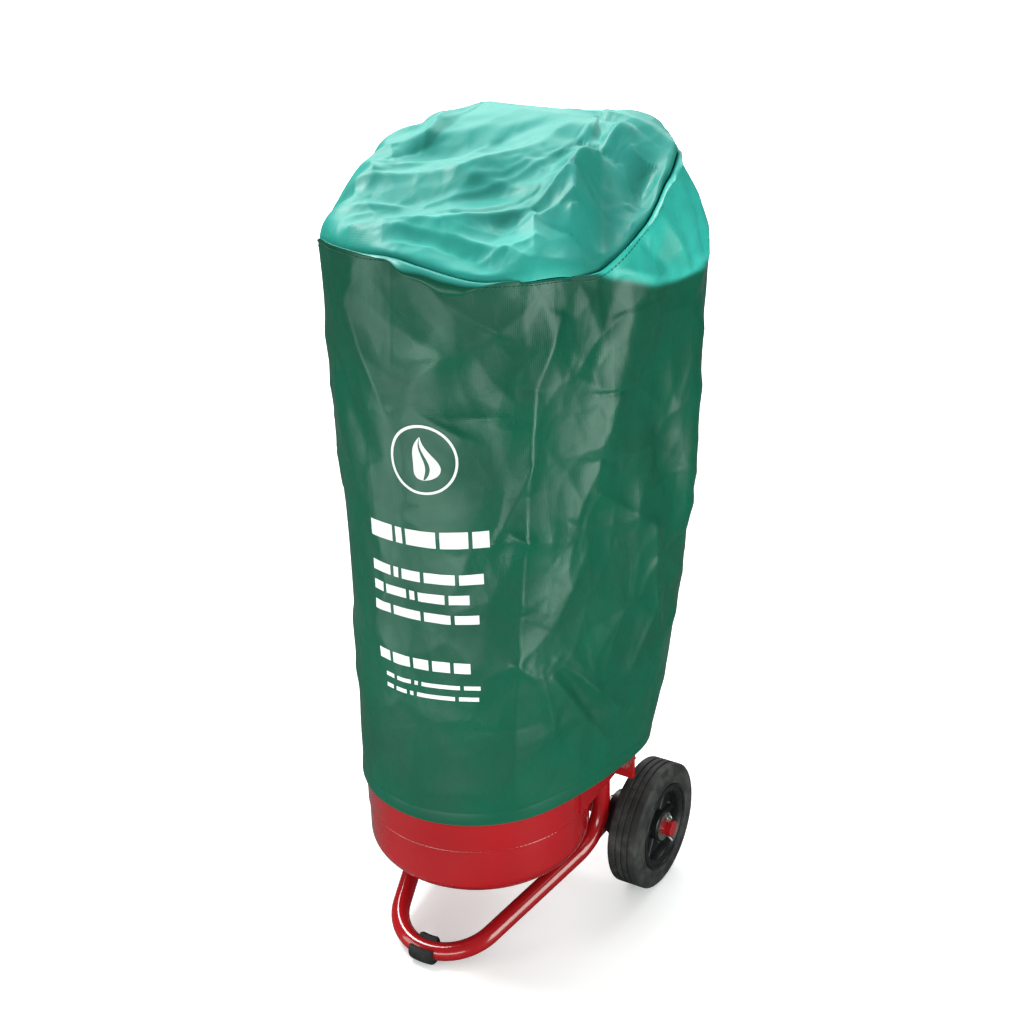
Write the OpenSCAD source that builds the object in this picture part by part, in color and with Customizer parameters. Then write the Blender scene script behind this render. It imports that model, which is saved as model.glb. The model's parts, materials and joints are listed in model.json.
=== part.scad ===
// Wheeled dry-powder fire extinguisher with its fabric cover.
// Millimetres, +Z up, the front (foot loop) faces -Y and the axle runs along X.

/* [Vessel] */
// Outer diameter of the steel cylinder
vessel_d = 267; // [266:0.5:268]
// Wall of the cylinder and its heads
vessel_wall = 2.5; // [2:0.1:3]
// Height of the lowest point of the dished bottom above the floor
vessel_bottom_z = 74.5; // [73:0.5:77]
// Depth of each dished head
head_depth = 53; // [50:1:55]
// Height of the joint between the shell and the bottom head
joint_z = 168; // [166:0.5:170]
// Height where the straight wall ends at the top
shoulder_z = 585; // [580:1:590]

/* [Frame] */
// Outer diameter of the frame tube
tube_d = 22; // [22:0.1:22.4]
// Wall of the frame tube
tube_wall = 2; // [1.5:0.1:2.5]
// Radius of the bend at the front of the foot loop
loop_r = 66; // [65:0.5:67]
// Slope of the foot loop, rise over run
loop_slope = 0.32; // [0.31:0.005:0.33]
// Half distance between the two uprights
upright_x = 118; // [117.5:0.1:118.5]
// Distance of the uprights behind the vessel axis
upright_y = 90; // [89.6:0.1:90.4]
// Height of the push handle bar
handle_z = 932; // [928:1:933]
// Distance of the push handle bar behind the vessel axis
handle_y = 180; // [176:1:182]

/* [Wheels] */
// Wheel diameter over the tread
wheel_d = 160; // [158:0.5:162]
// Width of the tyre
tyre_w = 43; // [42:0.5:44]
// Distance of the middle of each tyre from the centre plane
wheel_x = 158.5; // [158:0.5:159]
// Distance of the axle behind the vessel axis
axle_y = 144.6; // [144:0.1:146]
// Axle diameter
axle_d = 20; // [19.8:0.1:20.2]

/* [Cover] */
// Height of the hem above the floor
hem_z = 208; // [208:1:212]
// Height of the top seam at the front
seam_z = 848; // [845:1:850]
// Rise of the top seam from the front to the handle
seam_rise = 64; // [60:1:66]
// Thickness of the coated cloth as a solid
cloth_t = 2.5; // [2:0.1:2.6]

/* [Hidden] */
$fn = 64;

// The origin is under the middle of the whole object, not under the vessel axis.
loop_front_y = -130;
pad_r = 17;
cover_back_y = 283;
origin_y = (loop_front_y - pad_r + cover_back_y) / 2;
module on_vessel_axis() translate([0, -origin_y, 0]) children();

// Vessel
vessel_r = vessel_d / 2;
dish_z = vessel_bottom_z + head_depth;
crown_z = shoulder_z + head_depth;
joggle = 1.2;
neck_r = 29;
neck_bore_r = 21;
neck_top_z = crown_z + 26;
siphon_r = 10;
siphon_bottom_z = vessel_bottom_z + 14;
powder_top_z = 505;

// Valve
valve_r = 20.8;
valve_flange_r = 28;
valve_top_z = neck_top_z + 66;
port_z = neck_top_z + 30;
stem_r = 5;
stem_bore_r = stem_r + 0.05;
spring_wire_r = 0.9;
spring_turns = 5;
spring_z0 = valve_top_z + 2;
spring_z1 = valve_top_z + 18;
stem_top_z = spring_z1 + 9;
pivot_x = 22;
pivot_z = valve_top_z + 22;
pivot_r = 3;
cheek_y = 13;
cheek_t = 3;
handle_len = 128;
handle_plate_w = 24;
lever_open = 9;
safety_x = -22;
safety_z = valve_top_z + 8;
safety_r = 2;
gauge_y = -46;
gauge_r = 20;
outlet_r = 11;
outlet_x = 66;
outlet_len = 20;

// Frame
tube_r = tube_d / 2;
loop_z = 15;
loop_angle = atan(loop_slope);
corner_s = (upright_y - loop_front_y) / cos(loop_angle);
corner_z = loop_z + loop_slope * (upright_y - loop_front_y);
corner_bend_r = 60;
tangent_a = atan2(corner_s - loop_r, upright_x) - acos(loop_r / norm([upright_x, corner_s - loop_r]));
tangent_x = loop_r * cos(tangent_a);
tangent_s = loop_r + loop_r * sin(tangent_a);
leg_plan = [upright_x - tangent_x, (corner_s - tangent_s) * cos(loop_angle)];
leg_rise = (corner_s - tangent_s) * sin(loop_angle);
leg_azimuth = atan2(leg_plan[1], leg_plan[0]);
leg_tilt = atan2(leg_rise, norm(leg_plan));
leg_dir = [cos(leg_tilt) * cos(leg_azimuth), cos(leg_tilt) * sin(leg_azimuth), sin(leg_tilt)];
leg_normal = [-sin(leg_tilt) * cos(leg_azimuth), -sin(leg_tilt) * sin(leg_azimuth), cos(leg_tilt)];
corner_back = corner_bend_r * tan((90 - leg_tilt) / 2);
leg_end = [upright_x, upright_y, corner_z] - corner_back * leg_dir;
upright_z0 = corner_z + corner_back;
knee_z = 700;
knee_r = 80;
lean = atan2(handle_y - upright_y, handle_z - knee_z);
knee_back = knee_r * tan(lean / 2);
upright_z1 = knee_z - knee_back;
arm_len = norm([handle_y - upright_y, handle_z - knee_z]);
handle_bend_r = 50;
grip_len = 110;
grip_r = 14.5;

// Straps that hold the vessel to the uprights
strap_t = 3;
strap_h = 44;
strap_zs = [168, 500];
ear_y = 102;
ear_x0 = 128.5;
ear_x1 = 155;
upright_dist = norm([upright_x, upright_y]);
strap_a = atan2(upright_y, upright_x) - acos((vessel_r - tube_r) / upright_dist);
strap_len = 97;
band_steps = 12;
band_foot = [131, ear_y + 2 * strap_t];
band_a = atan2(band_foot[1], band_foot[0]) + acos(vessel_r / norm(band_foot));
band_angles = [for (i = [0:band_steps]) band_a + (180 - 2 * band_a) * i / band_steps];
band_elbow = band_foot + strap_t * [cos(band_a), sin(band_a)];
band_bolt_x = 146;
bolt_r = 4;
bolt_hole_r = 4.2;

// Wheels
wheel_r = wheel_d / 2;
axle_r = axle_d / 2;
axle_half = 190;
run_gap = 0.05;
bush_r = 13;
rim_seat_r = 50;
rim_lip_r = 54.8;
rim_bore_r = 43;
rim_half = tyre_w / 2;
hub_outer_x = 176;
hub_inner_x = 109;
hub_outer_r = 19;
hub_inner_r = 29;
spokes = 6;
washer_r = 18;
bracket_x0 = 101;
bracket_x1 = 107;

// Cover: each row is height, seam share, front radius, front centre, half width,
// back depth and back centre of one horizontal section.
cover_origin_y = 60;
cover_power = 16;
cover_sides = 48;
cover_rows = [
    [hem_z, 0, 137, 0, 160, 98, 122],
    [260, 0, 136.5, 0, 168, 101, 132],
    [330, 0, 136.5, 0, 177, 105, 143],
    [420, 0, 136.5, 0, 185, 110, 154],
    [520, 0.05, 137, 0, 190, 113, 162],
    [600, 0.12, 141, 3, 192, 115, 168],
    [680, 0.25, 146, 7, 192, 115, 168],
    [755, 0.45, 150, 10, 192, 115, 167],
    [808, 0.7, 152, 12, 189, 113, 162],
    [seam_z, 1, 152, 12, 180, 108, 150]];
tent_shares = [0.05, 0.25, 0.5, 0.75, 0.92];
tent_half = 70;
tent_z = 952;
tent_bulge = 8;

// ---------- shared shapes ----------

module tube_ring() {
    difference() {
        circle(r = tube_r);
        circle(r = tube_r - tube_wall);
    }
}

module tube_between(a, b) {
    d = b - a;
    translate(a) rotate([0, acos(d[2] / norm(d)), atan2(d[1], d[0])])
        linear_extrude(norm(d)) tube_ring();
}

module mirrored_x() {
    children();
    mirror([1, 0, 0]) children();
}

module washer(r, bore, t) {
    difference() {
        cylinder(r = r, h = t);
        translate([0, 0, -1]) cylinder(r = bore, h = t + 2);
    }
}

module hexagon(across, h) {
    cylinder(r = across / sqrt(3), h = h, $fn = 6);
}

// Half outline of a dished head, from its pole to its rim.
head_steps = 20;
function dish(r, depth) = [for (i = [0:head_steps])
    [r * sin(90 * i / head_steps), -depth * cos(90 * i / head_steps)]];
function reversed(list) = [for (i = [len(list) - 1:-1:0]) list[i]];

module head_profile(r, depth, wall, skirt) {
    polygon(concat(dish(r, depth), [[r, skirt], [r - wall, skirt]],
        reversed(dish(r - wall, depth - wall))));
}

// ---------- vessel ----------

module cylinder_shell() color("firebrick") on_vessel_axis()
    translate([0, 0, joint_z]) difference() {
        cylinder(r = vessel_r, h = shoulder_z - joint_z);
        translate([0, 0, -1]) cylinder(r = vessel_r - vessel_wall, h = shoulder_z - joint_z + 2);
    }

module bottom_head() color("firebrick") on_vessel_axis()
    translate([0, 0, dish_z])
        rotate_extrude() head_profile(vessel_r - joggle, head_depth, vessel_wall, joint_z - dish_z);

module top_head() color("firebrick") on_vessel_axis() difference() {
    translate([0, 0, shoulder_z]) mirror([0, 0, 1])
        rotate_extrude() head_profile(vessel_r, head_depth, vessel_wall, 0);
    translate([0, 0, shoulder_z]) cylinder(r = neck_bore_r, h = 2 * head_depth);
}

module neck_ring() color("dimgray") on_vessel_axis() difference() {
    translate([0, 0, crown_z]) cylinder(r = neck_r, h = neck_top_z - crown_z);
    translate([0, 0, crown_z - 1]) cylinder(r = neck_bore_r, h = neck_top_z - crown_z + 2);
}

module neck_seal() color("black") on_vessel_axis()
    translate([0, 0, neck_top_z]) washer(neck_r - 3, neck_bore_r, 2);

module siphon_tube() color("lightgray") on_vessel_axis() difference() {
    translate([0, 0, siphon_bottom_z]) cylinder(r = siphon_r, h = neck_top_z - siphon_bottom_z - 8);
    translate([0, 0, siphon_bottom_z - 1]) cylinder(r = siphon_r - 1.5, h = neck_top_z);
}

module powder_charge() color("pink") on_vessel_axis() difference() {
    translate([0, 0, dish_z]) rotate_extrude()
        polygon(concat(dish(vessel_r - joggle - vessel_wall - 0.3, head_depth - vessel_wall - 0.3),
            [[vessel_r - joggle - vessel_wall - 0.3, powder_top_z - dish_z], [0, powder_top_z - dish_z]]));
    translate([0, 0, vessel_bottom_z]) cylinder(r = siphon_r + 0.3, h = powder_top_z);
}

// ---------- valve ----------

module valve_body() color("goldenrod") on_vessel_axis() difference() {
    union() {
        translate([0, 0, neck_top_z + 2]) cylinder(r = valve_flange_r, h = 8);
        translate([0, 0, neck_top_z + 2]) cylinder(r = valve_r, h = valve_top_z - neck_top_z - 2);
        translate([0, 0, neck_top_z - 16]) cylinder(r = neck_bore_r - 0.5, h = 18);
        translate([0, 0, port_z]) rotate([0, 90, 0]) cylinder(r = 15, h = outlet_x - outlet_len);
        translate([0, 0, port_z]) rotate([90, 0, 0]) cylinder(r = 8, h = -gauge_y - 7);
    }
    translate([0, 0, neck_top_z - 17]) cylinder(r = siphon_r, h = 10);
    translate([0, 0, neck_top_z - 8]) cylinder(r = siphon_r - 1.5, h = port_z - neck_top_z + 8);
    translate([0, 0, port_z]) cylinder(r = stem_bore_r, h = valve_top_z);
    translate([0, 0, port_z]) rotate([0, 90, 0]) cylinder(r = 6, h = outlet_x);
}

module hose_outlet() color("goldenrod") on_vessel_axis() translate([outlet_x - outlet_len, 0, port_z])
    rotate([0, 90, 0]) difference() {
        union() {
            cylinder(r = outlet_r, h = outlet_len);
            hexagon(26, 5);
        }
        translate([0, 0, -1]) cylinder(r = 6, h = outlet_len + 2);
    }

module valve_stem() color("silver") on_vessel_axis() {
    translate([0, 0, port_z + 12]) cylinder(r = stem_r, h = stem_top_z - port_z - 15);
    translate([0, 0, stem_top_z - 3]) cylinder(r = stem_r + 3.5, h = 3);
}

// A coil spring swept as one closed tube.
spring_sides = 8;
spring_steps = 12;
spring_coil_r = stem_r + 2;
spring_rings = spring_turns * spring_steps;
spring_points = [for (i = [0:spring_rings], j = [0:spring_sides - 1])
    let (a = 360 * i / spring_steps, b = 360 * j / spring_sides,
         r = spring_coil_r + spring_wire_r * cos(b),
         z = spring_z0 + spring_wire_r + (spring_z1 - spring_z0 - 2 * spring_wire_r) * i / spring_rings)
    [r * cos(a), r * sin(a), z + spring_wire_r * sin(b)]];
function ring_quad(i, j, n) = let (k = (j + 1) % n)
    [[i * n + j, i * n + k, (i + 1) * n + k], [i * n + j, (i + 1) * n + k, (i + 1) * n + j]];
spring_faces = concat(
    [for (i = [0:spring_rings - 1], j = [0:spring_sides - 1], f = ring_quad(i, j, spring_sides)) reversed(f)],
    [[for (j = [0:spring_sides - 1]) j]],
    [[for (j = [spring_sides - 1:-1:0]) spring_rings * spring_sides + j]]);

module valve_spring() color("silver") on_vessel_axis() polyhedron(spring_points, spring_faces);

// Side cheek of the carry handle or lever, with its pivot hole.
module cheek(x0, x1, z0, z1, y, t) translate([x0, y, z0]) cube([x1 - x0, t, z1 - z0]);

module along_y(x, z, r, y0, y1) translate([x, y0, z]) rotate([-90, 0, 0]) cylinder(r = r, h = y1 - y0);

module carry_handle() color("red") on_vessel_axis() difference() {
    union() {
        translate([-handle_len, -handle_plate_w / 2, valve_top_z - 3])
            cube([handle_len - valve_r + 6, handle_plate_w, strap_t]);
        translate([-handle_len, -handle_plate_w / 2, valve_top_z - 12]) cube([strap_t, handle_plate_w, 12]);
        translate([0, 0, valve_top_z]) cylinder(r = valve_r + 4, h = 2);
        translate([-valve_r - 4, -cheek_y - cheek_t, valve_top_z - 3])
            cube([8, 2 * (cheek_y + cheek_t), strap_t + 2]);
        for (y = [-cheek_y - cheek_t, cheek_y])
            cheek(-valve_r - 8, pivot_x + 7, valve_top_z - 3, pivot_z + 7, y, cheek_t);
    }
    translate([0, 0, valve_top_z - 60]) cylinder(r = valve_r, h = 60);
    translate([0, 0, valve_top_z - 60]) cylinder(r = spring_coil_r + 2, h = 80);
    along_y(pivot_x, pivot_z, pivot_r, -30, 30);
    along_y(safety_x, safety_z, safety_r + 0.15, -30, 30);
}

lever_cheek_y = cheek_y - 0.5 - cheek_t;
module squeeze_lever() color("red") on_vessel_axis()
    translate([pivot_x, 0, pivot_z]) rotate([0, lever_open, 0]) translate([-pivot_x, 0, -pivot_z]) difference() {
        union() {
            translate([-handle_len - 4, -handle_plate_w / 2, pivot_z + 4])
                cube([handle_len - 18, handle_plate_w, strap_t]);
            translate([-26, -lever_cheek_y - cheek_t, pivot_z + 4])
                cube([54, 2 * (lever_cheek_y + cheek_t), strap_t]);
            for (y = [-lever_cheek_y - cheek_t, lever_cheek_y])
                cheek(8, pivot_x + 6, pivot_z - 6, pivot_z + 5, y, cheek_t);
        }
        along_y(pivot_x, pivot_z, pivot_r + 0.05, -30, 30);
    }

module lever_pivot_pin() color("silver") on_vessel_axis() {
    along_y(pivot_x, pivot_z, pivot_r, -cheek_y - cheek_t - 2, cheek_y + cheek_t + 2);
    along_y(pivot_x, pivot_z, pivot_r + 2, -cheek_y - cheek_t - 3, -cheek_y - cheek_t);
    along_y(pivot_x, pivot_z, pivot_r + 2, cheek_y + cheek_t, cheek_y + cheek_t + 3);
}

safety_y0 = -cheek_y - cheek_t - 8;
module safety_pin() color("silver") on_vessel_axis() {
    along_y(safety_x, safety_z, safety_r, safety_y0, cheek_y + cheek_t + 6);
    along_y(safety_x, safety_z, safety_r + 2, safety_y0 + 3, safety_y0 + 6);
}

pull_ring_r = 11;
pull_wire_r = 1.2;
module pull_ring() color("silver") on_vessel_axis()
    translate([safety_x, safety_y0 - pull_wire_r, safety_z - pull_ring_r])
        rotate([90, 0, 0]) rotate_extrude() translate([pull_ring_r, 0]) circle(r = pull_wire_r, $fn = 24);

module tamper_tie() color("yellow") on_vessel_axis()
    translate([safety_x, safety_y0 - pull_wire_r, safety_z - 2 * pull_ring_r - 3.2])
        rotate([90, 0, 90]) rotate_extrude() translate([6, 0]) circle(r = 0.8, $fn = 24);

module facing_front(y, h) translate([0, y, port_z]) rotate([90, 0, 0]) children();

module gauge_case() color("silver") on_vessel_axis() facing_front(gauge_y + 7) difference() {
    cylinder(r = gauge_r, h = 14);
    translate([0, 0, 4]) cylinder(r = gauge_r - 2, h = 14);
    translate([0, 0, -1]) cylinder(r = 1.05, h = 6);
}

module gauge_dial() color("white") on_vessel_axis() facing_front(gauge_y + 3) washer(gauge_r - 2, 1.05, 1);

module gauge_pivot() color("goldenrod") on_vessel_axis() facing_front(gauge_y + 7) {
    cylinder(r = 1.05, h = 4);
    cylinder(r = 0.95, h = 8);
}

module gauge_needle() color("black") on_vessel_axis() facing_front(gauge_y + 1.5) difference() {
    union() {
        cylinder(r = 2.5, h = 1.2);
        translate([-0.6, -5, 0]) cube([1.2, 19, 1.2]);
    }
    translate([0, 0, -1]) cylinder(r = 1, h = 4);
}

module gauge_lens() color("lightcyan", 0.4) on_vessel_axis() facing_front(gauge_y - 2.5)
    cylinder(r = gauge_r - 2, h = 2);

// ---------- frame ----------

module loop_arc(start, sweep) translate([0, loop_front_y, loop_z]) rotate([loop_angle, 0, 0])
    translate([0, loop_r, 0]) rotate([0, 0, start]) rotate_extrude(angle = sweep)
        translate([loop_r, 0]) children();

// A station of a bent tube is a point on its centre line and the direction there.
bend_steps = 8;
tube_sides = 24;
function mirrored_station(s) = [[-s[0][0], s[0][1], s[0][2]], [s[1][0], -s[1][1], -s[1][2]]];
function unit(v) = v / norm(v);
function station_ring(s, ref, r) = let (u = unit(cross(s[1], ref)), v = cross(s[1], u))
    [for (j = [0:tube_sides - 1]) let (a = 360 * j / tube_sides) s[0] + r * (cos(a) * u + sin(a) * v)];

module bent_tube(stations, ref)
    shell([for (s = stations) station_ring(s, ref, tube_r)],
        [for (s = stations) station_ring(s, ref, tube_r - tube_wall)], false);

function on_loop_plane(x, s) = [x, loop_front_y + s * cos(loop_angle), loop_z + s * sin(loop_angle)];
loop_right = concat(
    [for (i = [0:bend_steps]) let (a = -90 + (90 + tangent_a) * i / bend_steps)
        [on_loop_plane(loop_r * cos(a), loop_r + loop_r * sin(a)),
         [-sin(a), cos(a) * cos(loop_angle), cos(a) * sin(loop_angle)]]],
    [for (i = [0:bend_steps]) let (a = (90 - leg_tilt) * i / bend_steps)
        [leg_end + corner_bend_r * (sin(a) * leg_dir + (1 - cos(a)) * leg_normal),
         cos(a) * leg_dir + sin(a) * leg_normal]]);

module foot_loop() color("firebrick") on_vessel_axis()
    bent_tube(concat([for (i = [len(loop_right) - 1:-1:1]) mirrored_station(loop_right[i])], loop_right),
        [0, -sin(loop_angle), cos(loop_angle)]);

pad_span = 24;
module foot_pad() color("black") on_vessel_axis() difference() {
    loop_arc(-90 - pad_span / 2, pad_span) difference() {
        circle(r = pad_r);
        circle(r = tube_r + 0.1);
        translate([-pad_r - 6, 5]) square([2 * pad_r, pad_r]);
    }
    translate([-pad_r * 2, loop_front_y - 40, -10]) cube([pad_r * 4, 80, 10]);
}

module upright() tube_between([upright_x, upright_y, upright_z0], [upright_x, upright_y, upright_z1]);

module upright_right() color("firebrick") on_vessel_axis() upright();

module upright_left() color("firebrick") on_vessel_axis() mirror([1, 0, 0]) upright();

// The handle lies in a plane that leans back from the knees.
function in_handle_plane(p) = [p[0], upright_y + p[1] * sin(lean), knee_z + p[1] * cos(lean)];
handle_right = concat(
    [for (i = [0:bend_steps / 2]) let (a = lean * i / (bend_steps / 2))
        [[upright_x, upright_y + knee_r * (1 - cos(a)), upright_z1 + knee_r * sin(a)], [0, sin(a), cos(a)]]],
    [for (i = [0:bend_steps]) let (a = 90 * i / bend_steps)
        [in_handle_plane([upright_x - handle_bend_r * (1 - cos(a)), arm_len - handle_bend_r * (1 - sin(a))]),
         [-sin(a), cos(a) * sin(lean), cos(a) * cos(lean)]]]);

module push_handle() color("firebrick") on_vessel_axis()
    bent_tube(concat(handle_right, [for (s = reversed(handle_right)) mirrored_station(s)]),
        [0, cos(lean), -sin(lean)]);

module handle_grip() color("black") on_vessel_axis() translate([-grip_len / 2, handle_y, handle_z])
    rotate([0, 90, 0]) difference() {
        cylinder(r = grip_r, h = grip_len);
        translate([0, 0, -1]) cylinder(r = tube_r, h = grip_len + 2);
    }

module saddle(z) difference() {
    union() {
        rotate([0, 0, strap_a]) translate([vessel_r, 0, z]) cube([strap_t, strap_len, strap_h]);
        translate([ear_x0, ear_y, z]) cube([ear_x1 - ear_x0, strap_t, strap_h]);
    }
    translate([band_bolt_x, ear_y - 5, z + strap_h / 2]) rotate([-90, 0, 0]) cylinder(r = bolt_hole_r, h = 20);
}

module lower_saddle_right() color("firebrick") on_vessel_axis() saddle(strap_zs[0]);

module lower_saddle_left() color("firebrick") on_vessel_axis() mirror([1, 0, 0]) saddle(strap_zs[0]);

module upper_saddle_right() color("firebrick") on_vessel_axis() saddle(strap_zs[1]);

module upper_saddle_left() color("firebrick") on_vessel_axis() mirror([1, 0, 0]) saddle(strap_zs[1]);

// The rear band's outline from above: round the back of the vessel, straight to each ear, then outward.
module rear_band_outline() polygon(concat(
    [[ear_x1, ear_y + strap_t], [ear_x1, band_foot[1]], [band_elbow[0], band_foot[1]], band_elbow],
    [for (a = band_angles) (vessel_r + strap_t) * [cos(a), sin(a)]],
    [[-band_elbow[0], band_elbow[1]], [-band_elbow[0], band_foot[1]], [-ear_x1, band_foot[1]],
     [-ear_x1, ear_y + strap_t], [-band_foot[0], ear_y + strap_t], [-band_foot[0], band_foot[1]]],
    [for (a = reversed(band_angles)) vessel_r * [cos(a), sin(a)]],
    [band_foot, [band_foot[0], ear_y + strap_t]]));

module rear_band(z) difference() {
    translate([0, 0, z]) linear_extrude(strap_h) rear_band_outline();
    mirrored_x() translate([band_bolt_x, ear_y - 5, z + strap_h / 2]) rotate([-90, 0, 0])
        cylinder(r = bolt_hole_r, h = 20);
}

module lower_rear_band() color("firebrick") on_vessel_axis() rear_band(strap_zs[0]);

module upper_rear_band() color("firebrick") on_vessel_axis() rear_band(strap_zs[1]);

module at_band_bolts() mirrored_x() for (z = strap_zs)
    translate([band_bolt_x, ear_y, z + strap_h / 2]) rotate([-90, 0, 0]) children();

module band_bolts() color("silver") on_vessel_axis() at_band_bolts() {
    translate([0, 0, -5]) hexagon(13, 5);
    cylinder(r = bolt_r, h = 16);
}

module band_nuts() color("silver") on_vessel_axis() at_band_bolts() difference() {
    translate([0, 0, 2 * strap_t]) hexagon(13, 6.5);
    cylinder(r = bolt_r, h = 30);
}

// ---------- axle and wheels ----------

module on_axle() translate([0, axle_y, wheel_r]) rotate([0, 90, 0]) children();

split_x = axle_half - 6;
module axle() color("firebrick") on_vessel_axis() on_axle() difference() {
    translate([0, 0, -axle_half]) cylinder(r = axle_r, h = 2 * axle_half);
    for (x = [-split_x, split_x]) translate([-20, 0, x]) rotate([0, 90, 0]) cylinder(r = 2, h = 40);
}

module axle_bracket() difference() {
    union() {
        translate([bracket_x0, 88, wheel_r - 19]) cube([bracket_x1 - bracket_x0, axle_y - 88, 38]);
        translate([bracket_x0, axle_y, wheel_r]) rotate([0, 90, 0]) cylinder(r = 19, h = bracket_x1 - bracket_x0);
    }
    translate([bracket_x0 - 1, axle_y, wheel_r]) rotate([0, 90, 0]) cylinder(r = axle_r, h = 20);
}

module axle_bracket_right() color("firebrick") on_vessel_axis() axle_bracket();

module axle_bracket_left() color("firebrick") on_vessel_axis() mirror([1, 0, 0]) axle_bracket();

module inner_washers() color("silver") on_vessel_axis() mirrored_x() on_axle()
    translate([0, 0, bracket_x1]) washer(washer_r, axle_r + 0.3, 1.8);

module outer_washers() color("silver") on_vessel_axis() mirrored_x() on_axle()
    translate([0, 0, hub_outer_x + 0.2]) washer(washer_r, axle_r + 0.3, 2.5);

module split_pin() {
    translate([0, 0, -14]) cylinder(r = 1.8, h = 26);
    translate([0, 0, 15]) rotate([90, 0, 0]) rotate_extrude() translate([3, 0]) circle(r = 1.4, $fn = 24);
    translate([0, 0, -13]) rotate([0, 130, 0]) cylinder(r = 1.3, h = 7);
}

module split_pins() color("silver") on_vessel_axis() mirrored_x()
    translate([split_x, axle_y, wheel_r]) split_pin();

groove_w = 2.4;
groove_d = 2;
tread_half = 16.5;
shoulder_r = wheel_r - 12;
tyre_outline = concat(
    [[-rim_half + 3.5, rim_seat_r], [-rim_half + 3.5, rim_lip_r], [-rim_half + 0.5, rim_lip_r + 2.5]],
    [for (i = [0:6]) let (a = 90 * i / 6)
        [-tread_half - (rim_half - tread_half) * cos(a), shoulder_r + (wheel_r - shoulder_r) * sin(a)]],
    [for (x = [-8, 0, 8], s = [[-1, 0], [-0.6, 1], [0.6, 1], [1, 0]])
        [x + s[0] * groove_w / 2, wheel_r - s[1] * groove_d]],
    [for (i = [6:-1:0]) let (a = 90 * i / 6)
        [tread_half + (rim_half - tread_half) * cos(a), shoulder_r + (wheel_r - shoulder_r) * sin(a)]],
    [[rim_half - 0.5, rim_lip_r + 2.5], [rim_half - 3.5, rim_lip_r], [rim_half - 3.5, rim_seat_r]]);

module at_wheel(side) on_vessel_axis() on_axle() translate([0, 0, side * wheel_x]) children();

module tyre(side) at_wheel(side) rotate_extrude()
    polygon([for (p = tyre_outline) [p[1], p[0]]]);

module tyre_right() color("darkslategray") tyre(1);

module tyre_left() color("darkslategray") tyre(-1);

// The outer face looks along +Z here; the left wheel is the mirror image.
module rim() {
    difference() {
        union() {
            rotate_extrude() polygon([[rim_bore_r, -rim_half], [rim_lip_r, -rim_half], [rim_lip_r, -rim_half + 3.5],
                [rim_seat_r, -rim_half + 3.5], [rim_seat_r, rim_half - 3.5], [rim_lip_r, rim_half - 3.5],
                [rim_lip_r, rim_half], [rim_bore_r + 3, rim_half], [rim_bore_r, rim_half - 5]]);
            translate([0, 0, -2.5]) cylinder(r = rim_bore_r + 1, h = 5);
            translate([0, 0, -2.5]) cylinder(r = hub_outer_r, h = hub_outer_x - wheel_x + 2.5);
            translate([0, 0, hub_inner_x - wheel_x]) cylinder(r = hub_inner_r, h = wheel_x - hub_inner_x);
            for (i = [0:spokes - 1]) rotate([0, 0, i * 360 / spokes])
                translate([0, -3, -12]) cube([rim_bore_r + 1, 6, 24]);
        }
        translate([0, 0, hub_inner_x - wheel_x - 1]) cylinder(r = bush_r, h = hub_outer_x - hub_inner_x + 2);
    }
}

module rim_right() color("dimgray") at_wheel(1) rim();

module rim_left() color("dimgray") at_wheel(-1) mirror([0, 0, 1]) rim();

module hub_bush() translate([0, 0, hub_inner_x - wheel_x])
    washer(bush_r, axle_r + run_gap, hub_outer_x - hub_inner_x);

module hub_bush_right() color("ivory") at_wheel(1) hub_bush();

module hub_bush_left() color("ivory") at_wheel(-1) mirror([0, 0, 1]) hub_bush();

// ---------- cover ----------

function support(t, row) = let (
    front = max(row[2] + (row[3] - cover_origin_y) * sin(t), 1),
    back = max(norm([row[4] * cos(t), row[5] * sin(t)]) + (row[6] - cover_origin_y) * sin(t), 1))
    pow(pow(front, cover_power) + pow(back, cover_power), 1 / cover_power);

half_step = 0.05;
function outline(t, row, inset) = let (
    h = support(t, row) - inset,
    d = (support(t + half_step, row) - support(t - half_step, row)) / (2 * half_step) * 180 / PI)
    [h * cos(t) - d * sin(t), cover_origin_y + h * sin(t) + d * cos(t)];

function lift_share(y) = min(1, (y - loop_front_y + 10) / (handle_y - loop_front_y + 10));

function cover_ring(row, inset) = [for (j = [0:cover_sides - 1])
    let (p = outline(360 * j / cover_sides - 90, row, inset))
    [p[0], p[1], row[0] + row[1] * seam_rise * max(0, lift_share(p[1]))]];

function tent_ring(share, inset) = [for (p = cover_ring(cover_rows[len(cover_rows) - 1], inset))
    let (h = [max(-tent_half, min(tent_half, p[0])), handle_y, tent_z])
    p + share * (h - p) + [0, 0, tent_bulge * sin(180 * share) - (share > 0 ? inset : 0)]];

// A closed shell from matching lists of outer and inner rings, with or without a crown.
module shell(outer, inner, crown) {
    n = len(outer[0]);
    m = len(outer);
    points = concat([for (r = outer, p = r) p], [for (r = inner, p = r) p],
        crown ? [[0, handle_y, tent_z + 1], [0, handle_y, tent_z + 1 - cloth_t]] : []);
    top = (m - 1) * n;
    base = m * n;
    faces = concat(
        [for (i = [0:m - 2], j = [0:n - 1], f = ring_quad(i, j, n)) reversed(f)],
        [for (i = [0:m - 2], j = [0:n - 1], f = ring_quad(i, j, n)) [for (v = f) v + base]],
        [for (j = [0:n - 1]) let (k = (j + 1) % n) each [[j, k, base + k], [j, base + k, base + j]]],
        crown
            ? [for (j = [0:n - 1]) let (k = (j + 1) % n)
                each [[top + k, top + j, 2 * base], [base + top + j, base + top + k, 2 * base + 1]]]
            : [for (j = [0:n - 1]) let (k = (j + 1) % n)
                each [[top + k, top + j, base + top + j], [top + k, base + top + j, base + top + k]]]);
    polyhedron(points, faces);
}

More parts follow.
